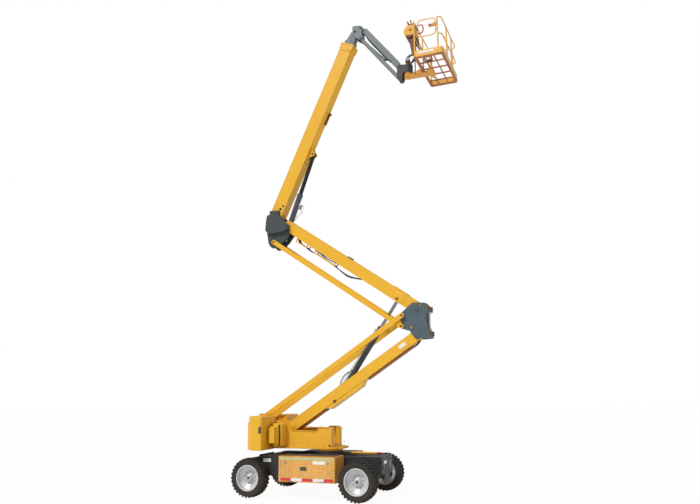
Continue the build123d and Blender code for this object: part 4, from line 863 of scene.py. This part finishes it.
for n, y in enumerate((-0.045, 0.035)):
    clips = ((0.125, 0.38, 0), (0.165, 0.46, 0), (0.185, 0.62, -0.01), (0.160, 0.78, 0), (0.098, 0.86, 0))
    hose(f"towerCylinderHose{n}", [towerLow + lift * out + towerLine * reach + Vector((0, y + shift, 0))
                                   for out, reach, shift in clips], 0.008, hoseBlack, "tower_barrel")

# lower knuckle
mesh = bmesh.new()
for centre, keeper in ((lowerTip, (-0.7, 0, 0.7)), (riserFoot, (-0.7, 0, -0.7))):
    addPinPair(mesh, centre, 0.203, 0.047, keeper)
newPiece("lowerKnucklePins", mesh, knuckleBlueGrey, "lower_knuckle", smooth=30)
mesh = bmesh.new()
for side in (-1, 1):
    across = Vector((0, side * 0.1955, 0))
    for centre, first in ((lowerTip, 0.4), (riserFoot, 3.4)):
        turns = [first + 0.22 * n for n in range(12)]
        addSeam(mesh, [centre + across + Vector((0.15 * math.cos(t), 0, 0.15 * math.sin(t))) for t in turns])
    middle = (lowerTip + riserFoot) / 2 + across
    bends = [(-0.16 + 0.20 * math.sin(0.16 * n), 0, -0.26 + 0.052 * n) for n in range(11)]
    addSeam(mesh, fromPoint(middle, bends))
newPiece("knuckleWelds", mesh, knuckleBlueGrey, "lower_knuckle", smooth=40)
mesh = bmesh.new()
for side in (-1, 1):
    hole = lowerTip + Vector((-0.161, 0, 0.194))
    addRod(mesh, (hole.x, side * 0.168, hole.z), (hole.x, side * 0.172, hole.z), 0.040, 24)
newPiece("knuckleHoleBack", mesh, yellowPaint, "lower_knuckle")
mesh = bmesh.new()
for centre in (riserFoot + Vector((0.30, 0, -0.02)), lowerTip + Vector((0.325, 0, 0.02))):
    for side in (-1, 1):
        addBox(mesh, centre + Vector((0.010, side * 0.13, 0)), (0.050, 0.09, 0.12), round=0.006)
newPiece("knuckleStopPads", mesh, consoleBrown, "lower_knuckle", smooth=30)
mesh = bmesh.new()
strip = [(0.314, 0.605), (0.300, 0.45), (0.297, 0.289), (0.303, 0.17), (0.316, 0.055)]
addBentPlate(mesh, lowerTip, strip, 0.115, 0.004)
newPiece("rubbingStrip", mesh, plateWhite, "lower_knuckle")

# riser
riserTrim = {
    "cornerLift": 0.1485,
    "cornerFace": 0.1495,
    "plate": (0.34, 0.006, 0.22),
    "plateFace": 0.1505,
    "guideLift": -0.258,
    "guideHalf": 0.10,
}
riserLength = (riserTip - riserFoot).length
mesh = bmesh.new()
addBoomSeams(mesh, onRiser, 0.16, riserLength - 0.14, riserTrim["cornerLift"], riserTrim["cornerFace"])
for side in (-1, 1):
    centre = onRiser(riserLength - 0.56, 0, side * riserTrim["plateFace"])
    addBox(mesh, centre, riserTrim["plate"], tilt(riserLine), round=0.002)
newPiece("riserSeams", mesh, yellowPaint, "riser", smooth=40)
mesh = bmesh.new()
towerHead = onRiser(riserLength - 0.615, -0.080)
addPinPair(mesh, towerHead, 0.1505, 0.030, riserLine)
addBox(mesh, onRiser(2.17, 0.165, -0.06), (0.17, 0.09, 0.045), tilt(riserLine), round=0.006)
newPiece("riserPinHeads", mesh, plateDark, "riser", smooth=30)
# guide rail for the hoses below the riser, clear of the links
mesh = bmesh.new()
for start, end in ((0.43, 0.86), (1.13, 1.88)):
    middle = (start + end) / 2
    size = (end - start, 2 * riserTrim["guideHalf"], 0.006)
    addBox(mesh, onRiser(middle, riserTrim["guideLift"]), size, tilt(riserLine), round=0.001)
    for y in (-riserTrim["guideHalf"], riserTrim["guideHalf"]):
        addBox(mesh, onRiser(middle, -0.246, y), (end - start, 0.006, 0.030), tilt(riserLine), round=0.001)
        for reach in (start + 0.02, end - 0.02):
            addBox(mesh, onRiser(reach, -0.204, y), (0.036, 0.008, 0.112), tilt(riserLine), round=0.001)
newPiece("hoseGuide", mesh, yellowPaint, "riser", smooth=40)
for n, y in enumerate((-0.07, -0.04, -0.01, 0.03, 0.06)):
    clips = ((0.46, -0.150), (0.51, -0.215), (0.62, -0.243), (0.80, -0.243), (0.92, -0.262), (1.06, -0.262),
             (1.18, -0.243), (1.84, -0.243), (2.02, -0.262 - 0.005 * n), (2.34, -0.286 - 0.008 * n),
             (2.58, -0.225), (2.74, -0.160))
    hose(f"riserHose{n}", [onRiser(*clip, y) for clip in clips], 0.014, hoseBlack, "riser")
for n, y in enumerate((-0.12, 0.11)):
    clips = ((1.14, -0.160), (1.26, -0.178), (1.50, -0.196), (1.76, -0.180), (1.84, -0.158))
    hose(f"riserFeed{n}", [onRiser(*clip, y) for clip in clips], 0.011, hoseBlack, "riser")
# doubler on the riser's back over the tower cylinder's eye
boxPiece("riserDoubler", onRiser(riserLength - 0.66, 0.160, 0), (0.46, 0.22, 0.022), yellowPaint, "riser",
         smooth=30, turn=tilt(riserLine), round=0.008)
upperLinkTip = upperLinkFoot + (riserTip - riserFoot)
linkBosses("upperLinkBosses", (upperLinkFoot, upperLinkTip), 0.239, 0.050, "upper_link")
mesh = bmesh.new()
for side in (-1, 1):
    for centre, body in ((lowerLinkTip, 0.290), (upperLinkFoot, 0.240)):
        addRod(mesh, Vector((centre.x, side * body, centre.z)),
               Vector((centre.x, side * (body + 0.012), centre.z)), 0.026, 24, round=0.003)
newPiece("linkPinHeads", mesh, plateDark, "lower_knuckle", smooth=30)

# upper knuckle
mesh = bmesh.new()
face = 0.298
addPinPair(mesh, mainPivot + Vector((-0.01, 0, 0.045)), 0.234, 0.022)
addPinPair(mesh, riserTip + Vector((-0.01, 0, -0.03)), face, 0.020, height=0.006)
addPinPair(mesh, upperLinkTip, 0.244, 0.027, height=0.008)
addPinPair(mesh, riserTip + Vector((-0.424, 0, -0.257)), 0.190, 0.020)
for x, z in ((-0.62, 0.28), (-0.64, -0.06), (-0.10, 0.10), (-0.02, -0.10), (-0.52, -0.18), (-0.29, 0.30)):
    addBoltPair(mesh, riserTip.x + x, riserTip.z + z, face - 0.001, radius=0.009, height=0.006, washer=False)
newPiece("upperKnucklePins", mesh, plateDark, "upper_knuckle", smooth=30)
for n, y in enumerate((-0.158, -0.132, -0.108, 0.112, 0.142)):
    steps = ((-0.47, y, -0.40), (-0.36, y, -0.47), (-0.22, y, -0.47 + 0.01 * n), (-0.12, y, -0.38),
             (-0.06, y, -0.30))
    hose(f"knuckleHose{n}", fromPoint(riserTip, steps), 0.014, hoseBlack, "upper_knuckle")
mesh = bmesh.new()
for x, z in ((-0.465, -0.400), (-0.065, -0.305)):
    for side in (-1, 1):
        addBox(mesh, riserTip + Vector((x, side * 0.135, z)), (0.045, 0.080, 0.045), round=0.006)
newPiece("knuckleHoseClamps", mesh, coverDarkGrey, "upper_knuckle", smooth=30)

# main boom
mesh = bmesh.new()
mainReach = 5.48
for side in (-1, 1):
    for lift in (-0.1835, 0.1835):
        start = onMain(0.10 if lift < 0 else -0.05, lift, side * 0.1595)
        addSeam(mesh, [start, onMain(mainReach - 0.18, lift, side * 0.1595)])
    addBox(mesh, onMain(mainReach - 0.21, 0, side * 0.166), (0.05, 0.016, 0.36), tilt(mainLine),
           round=0.004)
newPiece("mainBoomSeams", mesh, yellowPaint, "main_boom", smooth=40)
mesh = bmesh.new()
for x, z, size in ((0.233, 0.242, 0.022), (0.146, 0.158, 0.030)):
    addBoltPair(mesh, mainPivot.x + x, mainPivot.z + z, 0.160, radius=size, height=0.014)
for lift in (-0.13, -0.05, 0.05, 0.13):
    centre = onMain(mainReach - 0.06, lift)
    addBoltPair(mesh, centre.x, centre.z, 0.178, radius=0.008, height=0.007)
addPinPair(mesh, onMain(2.05, -0.302), 0.090, 0.032)
newPiece("mainBoomBolts", mesh, plateDark, "main_boom", smooth=30)
mesh = bmesh.new()
addBox(mesh, onMain(3.19, -0.215, 0.10), (0.36, 0.05, 0.05), tilt(mainLine), round=0.008)
addBox(mesh, onMain(3.06, -0.195, 0.10), (0.05, 0.05, 0.06), tilt(mainLine), round=0.004)
addRod(mesh, onMain(3.36, -0.232, 0.06), onMain(3.36, -0.232, 0.14), 0.036, 20, round=0.004)
newPiece("underBracket", mesh, consoleBrown, "main_boom", smooth=30)
mesh = bmesh.new()
for lift in (-0.206, 0.206):
    addBox(mesh, onMain(mainReach - 0.09, lift), (0.13, 0.24, 0.012), tilt(mainLine), round=0.002)
newPiece("collarCaps", mesh, yellowPaint, "main_boom", smooth=30)

# main cylinder
mesh = bmesh.new()
mainMouth = 1.40
for reach, size, length in ((0.11, 0.086, 0.045), (mainMouth - 0.085, 0.088, 0.085)):
    start = mainFoot + mainRodLine * reach
    addRod(mesh, start, start + mainRodLine * length, size, 40, round=0.005)
newPiece("mainCylinderBands", mesh, cylinderGrey, "main_barrel", smooth=30)
side = crosswise(mainRodLine) * -1
mesh = bmesh.new()
pipe = mainFoot + side * 0.100 + Vector((0, -0.030, 0))
addRod(mesh, pipe + mainRodLine * 0.40, pipe + mainRodLine * (mainMouth - 0.06), 0.009, 12)
addBox(mesh, mainFoot + side * 0.125 + mainRodLine * 1.04, (0.15, 0.09, 0.085), tilt(mainRodLine),
       round=0.008)
for reach in (0.99, 1.09):
    start = mainFoot + side * 0.15 + mainRodLine * reach
    addRod(mesh, start, start + side * 0.035, 0.014, 12)
newPiece("mainCylinderPipe", mesh, boltSteel, "main_barrel", smooth=30)
for n, reach in enumerate((0.99, 1.09)):
    start = mainFoot + side * 0.185 + mainRodLine * reach
    steps = ((0, 0), (0.04, 0.03), (0.055, -0.10), (-0.02, -0.26), (-0.115, -0.40))
    hose(f"mainCylinderHose{n}", [start + side * out + mainRodLine * ahead for out, ahead in steps],
         0.012, plateWhite, "main_barrel")
print("booms ready")

# jib
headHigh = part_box("jib_head")[1]
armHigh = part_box("jib_arm")[1]
mesh = bmesh.new()
for centre, radius in ((headPivot, 0.040), (jibPivot, 0.034), (jibLinkFoot, 0.026)):
    addPinPair(mesh, centre, headHigh.y - 0.001, radius, height=0.010)
newPiece("jibHeadPins", mesh, plateDark, "jib_head", smooth=30)
mesh = bmesh.new()
for n in range(3):
    centre = along(headPivot, mainLine, -0.34 + 0.08 * n, 0.05)
    addBoltPair(mesh, centre.x, centre.z, 0.139, radius=0.009, height=0.006)
newPiece("tipBolts", mesh, boltSteel, "extension", smooth=30)
jibLinkTip = jibLinkFoot + (jibTip - jibPivot)
mesh = bmesh.new()
for centre, radius in ((jibTip, 0.030), (jibLinkTip, 0.024)):
    addPinPair(mesh, centre, armHigh.y - 0.001, radius, height=0.008)
newPiece("jibTipPins", mesh, plateDark, "end_bracket", smooth=30)

# hoses clipped under the arm
for n, y in enumerate((-0.048, -0.070, 0.050)):
    clips = ((0.20, -0.035), (0.34, -0.070), (0.62, -0.078), (0.95, -0.074), (1.28, -0.078), (1.55, -0.045))
    hose(f"jibHose{n}", [onJib(*clip, y) for clip in clips], 0.010, hoseBlack, "jib_arm")

# rotator: valve block, fittings and its looping hoses
mesh = bmesh.new()
addBox(mesh, (rotator.x + 0.01, -0.055, rotator.z + 0.155), (0.13, 0.11, 0.075), round=0.008)
for x in (-0.035, 0.01, 0.055):
    addPost(mesh, rotator.x + x, -0.055, rotator.z + 0.18, rotator.z + 0.225, 0.015, 12)
newPiece("rotatorValve", mesh, bareSteel, "end_bracket", smooth=30)
for n, (x, lift, swing) in enumerate(((-0.035, 0.34, 0.10), (0.01, 0.30, 0.06), (0.055, 0.36, 0.12))):
    start = Vector((rotator.x + x, -0.055, rotator.z + 0.215))
    end = Vector((rotator.x + 0.03, 0.02 * n, rotator.z + 0.10))
    steps = ((0, 0, 0), (0, -0.005, 0.07), (0.06 + swing, -0.03, lift - 0.20),
             (0.17 + swing, -0.03, lift - 0.26), (0.20, 0.0, -0.02))
    hose(f"rotatorHose{n}", fromPoint(start, steps) + [end + Vector((0.07, 0, 0.03)), end], 0.012, hoseBlack,
         "end_bracket")
print("jib ready")

# platform
railLow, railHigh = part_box("platform_rails")
floorLow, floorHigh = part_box("platform_floor")
consoleLow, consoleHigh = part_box("control_console")
gateLow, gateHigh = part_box("platform_gate")
consoleRadius = 0.175
drum = Vector((consoleLow.x + consoleRadius, 0, consoleHigh.z - consoleRadius))
rightPost = Vector((railLow.x + 0.02, railLow.y + 0.02, 0))
frontPost = Vector((railHigh.x - 0.145, railLow.y + 0.02, 0))

# floor: raised dots around its edge, in the painted-shade orange-brown
mesh = bmesh.new()
for nx in range(14):
    for ny in range(30):
        x = floorLow.x + 0.035 + nx * (floorHigh.x - floorLow.x - 0.07) / 13
        y = floorLow.y + 0.035 + ny * (floorHigh.y - floorLow.y - 0.07) / 29
        if nx in (0, 13) or ny in (0, 29):
            addPost(mesh, x, y, floorHigh.z - 0.001, floorHigh.z + 0.003, 0.010, 8, endRadius=0.006)
newPiece("floorDots", mesh, yellowInShade, "platform", smooth=40)

# blank plate on the right kick strip
boxPiece("kickBlankPlate", ((floorLow.x + floorHigh.x) / 2 - 0.06, railLow.y - 0.0005, floorHigh.z + 0.10),
         (0.44, 0.004, 0.060), plateWhite, "platform")

# sockets and clamps of the posts, with lanyard rings
mesh = bmesh.new()
for x in (rightPost.x, frontPost.x):
    for y in (rightPost.y, -rightPost.y):
        addPost(mesh, x, y, floorHigh.z + 0.002, floorHigh.z + 0.075, 0.024, 18, round=0.003)
for y in (-0.55, 0.0, 0.55):
    addBox(mesh, (railHigh.x - 0.02, y, floorHigh.z + 0.60), (0.034, 0.05, 0.05), round=0.008)
newPiece("postSockets", mesh, yellowPaint, "platform", smooth=35)
mesh = bmesh.new()
for y in (-0.25, 0.30):
    addSpin(mesh, [(-0.005, 0.026), (0.0, 0.021), (0.005, 0.026), (0.0, 0.031), (-0.005, 0.026)],
            Vector((railLow.x + 0.02, y, floorHigh.z + 0.515)), (0, 1, 0), steps=28)
newPiece("lanyardRings", mesh, boltSteel, "platform", smooth=40)

# gate: its latch and bolt
mesh = bmesh.new()
gateMiddle = (gateLow.z + gateHigh.z) / 2
addBox(mesh, (gateLow.x + 0.018, gateLow.y + 0.015, gateMiddle), (0.026, 0.034, 0.10), round=0.006)
addPost(mesh, gateLow.x + 0.005, gateLow.y + 0.015, gateMiddle + 0.02, gateMiddle + 0.09, 0.008, 12,
        round=0.002)
newPiece("gateLatch", mesh, plateDark, "gate", smooth=30)

# console: control panel, side knob, switches, joysticks and stop button
panelTop = consoleHigh.z - 0.004
mesh = bmesh.new()
addBox(mesh, (drum.x + 0.045, -0.575, consoleHigh.z - 0.002), (0.100, 0.48, 0.010), round=0.003)
addRod(mesh, (drum.x + 0.01, consoleLow.y + 0.026, drum.z - 0.03),
       (drum.x + 0.01, consoleLow.y, drum.z - 0.03), 0.026, 20, round=0.003)
newPiece("controlPanel", mesh, plateDark, "platform", smooth=30)
mesh = bmesh.new()
for n in range(6):
    y = -0.78 + 0.08 * n
    addPost(mesh, drum.x + 0.030, y, panelTop, panelTop + 0.016, 0.010, 12)
    addPost(mesh, drum.x + 0.070, y, panelTop, panelTop + 0.012, 0.013, 14)
newPiece("panelSwitches", mesh, boltSteel, "platform", smooth=30)
mesh = bmesh.new()
for y in (-0.74, -0.42):
    addPost(mesh, drum.x + 0.015, y, panelTop, panelTop + 0.036, 0.022, 18, endRadius=0.012)
    addRod(mesh, (drum.x + 0.015, y, panelTop + 0.03), (drum.x + 0.004, y, panelTop + 0.105), 0.008, 12)
    addRod(mesh, (drum.x + 0.005, y, panelTop + 0.098), (drum.x - 0.003, y, panelTop + 0.150), 0.018, 16,
           round=0.005)
newPiece("joysticks", mesh, plateDark, "platform", smooth=40)
mesh = bmesh.new()
addPost(mesh, drum.x + 0.055, -0.36, panelTop, panelTop + 0.022, 0.022, 20, round=0.004)
newPiece("stopButton", mesh, gripRed, "platform", smooth=40)

# red guard hoops over the panel and by the right rail
panelGuard = ((-0.06, -0.72, -0.01), (-0.10, -0.72, 0.13), (-0.10, -0.70, 0.155), (-0.10, -0.44, 0.155),
              (-0.10, -0.42, 0.13), (-0.06, -0.42, -0.01))
railGuard = ((0.02, -0.66, -0.02), (0.05, -0.66, -0.004), (0.15, -0.66, -0.006), (0.19, -0.65, -0.03),
             (0.19, -0.63, -0.19), (0.13, -0.62, -0.235), (0.03, -0.62, -0.22))
hose("panelGuard", fromPoint(Vector((drum.x, 0, panelTop)), panelGuard), 0.016, gripRed, "platform")
hose("railGuard", fromPoint(Vector((rightPost.x, 0, railHigh.z)), railGuard), 0.016, gripRed, "platform")

# tool box clipped to the right front post
boxMiddle = Vector((frontPost.x - 0.115, railLow.y + 0.030, railHigh.z - 0.215))
boxPiece("postBox", boxMiddle, (0.215, 0.050, 0.090), consoleYellow, "platform", smooth=35,
         round=0.008)
mesh = bmesh.new()
addBox(mesh, boxMiddle + Vector((-0.055, -0.026, 0.0)), (0.065, 0.004, 0.052), round=0.001)
for x in (0.03, 0.075):
    addRod(mesh, boxMiddle + Vector((x, -0.024, 0)), boxMiddle + Vector((x, -0.030, 0)), 0.012, 14)
newPiece("postBoxFittings", mesh, plateDark, "platform", smooth=30)

# foot pedal under its red guard
pedal = Vector((floorLow.x + 0.30, -0.56, floorHigh.z))
mesh = bmesh.new()
addBox(mesh, pedal + Vector((0, 0, 0.020)), (0.20, 0.15, 0.036), round=0.006)
addBox(mesh, pedal + Vector((-0.01, 0, 0.070)), (0.15, 0.10, 0.018),
       Matrix.Rotation(math.radians(12), 3, "Y"), round=0.005)
newPiece("footPedal", mesh, boltSteel, "platform", smooth=30)
mesh = bmesh.new()
arch = [(-0.10, 0.0), (-0.10, 0.12), (-0.05, 0.165), (0.05, 0.165), (0.10, 0.12), (0.10, 0.0)]
addBentPlate(mesh, pedal, arch, 0.17, 0.006, round=0.002)
newPiece("pedalGuard", mesh, gripRed, "platform", smooth=30)

# cables from the console down to the pedal and the support
hose("consoleCable", [(drum.x + 0.08, -0.80, drum.z - 0.16), (rightPost.x + 0.06, -0.78, drum.z - 0.30),
                      (rightPost.x + 0.10, -0.74, drum.z - 0.46),
                      (rightPost.x + 0.15, -0.68, floorHigh.z + 0.30),
                      (rightPost.x + 0.20, -0.60, floorHigh.z + 0.08),
                      (pedal.x - 0.08, -0.56, floorHigh.z + 0.03)],
     0.012, hoseBlack, "platform")
hose("supportCable", [(drum.x + 0.07, -0.60, drum.z - 0.54), (drum.x + 0.06, -0.60, drum.z - 0.60),
                      (drum.x + 0.02, -0.50, floorHigh.z + 0.20),
                      (drum.x - 0.02, -0.34, floorHigh.z + 0.02), (drum.x - 0.06, -0.20, floorHigh.z - 0.02),
                      (drum.x - 0.12, -0.12, floorHigh.z - 0.03)], 0.014, hoseBlack, "platform")
print("platform ready")

# floor, world, lamp and camera
studio = {
    "floorColour": (0.93, 0.93, 0.93),
    "sun": 2.05,
    "fill": 0.50,
    "eye": (6.290, -16.348, 2.602),
    "yaw": 21.275,
    "pitch": 12.152,
    "roll": -0.745,
    "lens": 33.35,
}


def makeStage():
    mesh = bmesh.new()
    bmesh.ops.create_grid(mesh, x_segments=1, y_segments=1, size=90)
    data = bpy.data.meshes.new("studioFloor")
    mesh.to_mesh(data)
    mesh.free()
    floor = bpy.data.objects.new("studioFloor", data)
    bpy.context.scene.collection.objects.link(floor)
    material = bpy.data.materials.new("studioFloor")
    material.use_nodes = True
    tree = material.node_tree
    shader = tree.nodes["Principled BSDF"]
    socket(shader, "Base Color", (*studio["floorColour"], 1))
    socket(shader, "Roughness", 0.9)
    glow = addNode(tree, "Emission", {"Color": (1, 1, 1, 1)})
    path = addNode(tree, "LightPath")
    seen = addNode(tree, "Math", {0: path.outputs["Is Camera Ray"], 1: 0.95}, operation="MULTIPLY")
    both = addNode(tree, "MixShader", {"Fac": seen.outputs["Value"], 1: shader.outputs["BSDF"],
                                       2: glow.outputs["Emission"]})
    tree.links.new(both.outputs["Shader"], tree.nodes["Material Output"].inputs["Surface"])
    data.materials.append(material)


def makeWorld():
    world = bpy.data.worlds.new("studioWorld")
    bpy.context.scene.world = world
    world.use_nodes = True
    tree = world.node_tree
    background = tree.nodes["Background"]
    background.inputs["Color"].default_value = (1, 1, 1, 1)
    path = addNode(tree, "LightPath")
    level = addNode(tree, "MapRange", {"Value": path.outputs["Is Camera Ray"], "To Min": studio["fill"],
                                       "To Max": 1.0})
    tree.links.new(level.outputs["Result"], background.inputs["Strength"])


def makeCamera():
    data = bpy.data.cameras.new("camera")
    data.sensor_width = 36
    data.lens = studio["lens"]
    data.clip_end = 400
    camera = bpy.data.objects.new("camera", data)
    bpy.context.scene.collection.objects.link(camera)
    camera.location = studio["eye"]
    turn = (Matrix.Rotation(math.radians(studio["yaw"]), 4, "Z")
            @ Matrix.Rotation(math.radians(90 + studio["pitch"]), 4, "X")
            @ Matrix.Rotation(math.radians(studio["roll"]), 4, "Z"))
    camera.rotation_euler = turn.to_euler()
    bpy.context.scene.camera = camera


makeStage()
makeWorld()
makeCamera()
sun = bpy.data.lights.new("sunSoft", "SUN")
sun.energy = studio["sun"]
sun.angle = math.radians(12)
sunHolder = bpy.data.objects.new("sunSoft", sun)
bpy.context.scene.collection.objects.link(sunHolder)
sunHolder.rotation_euler = Vector((0.40, 0.9, -1.10)).to_track_quat("-Z", "Y").to_euler()
bpy.context.scene.view_settings.view_transform = "Standard"
print("stage ready")
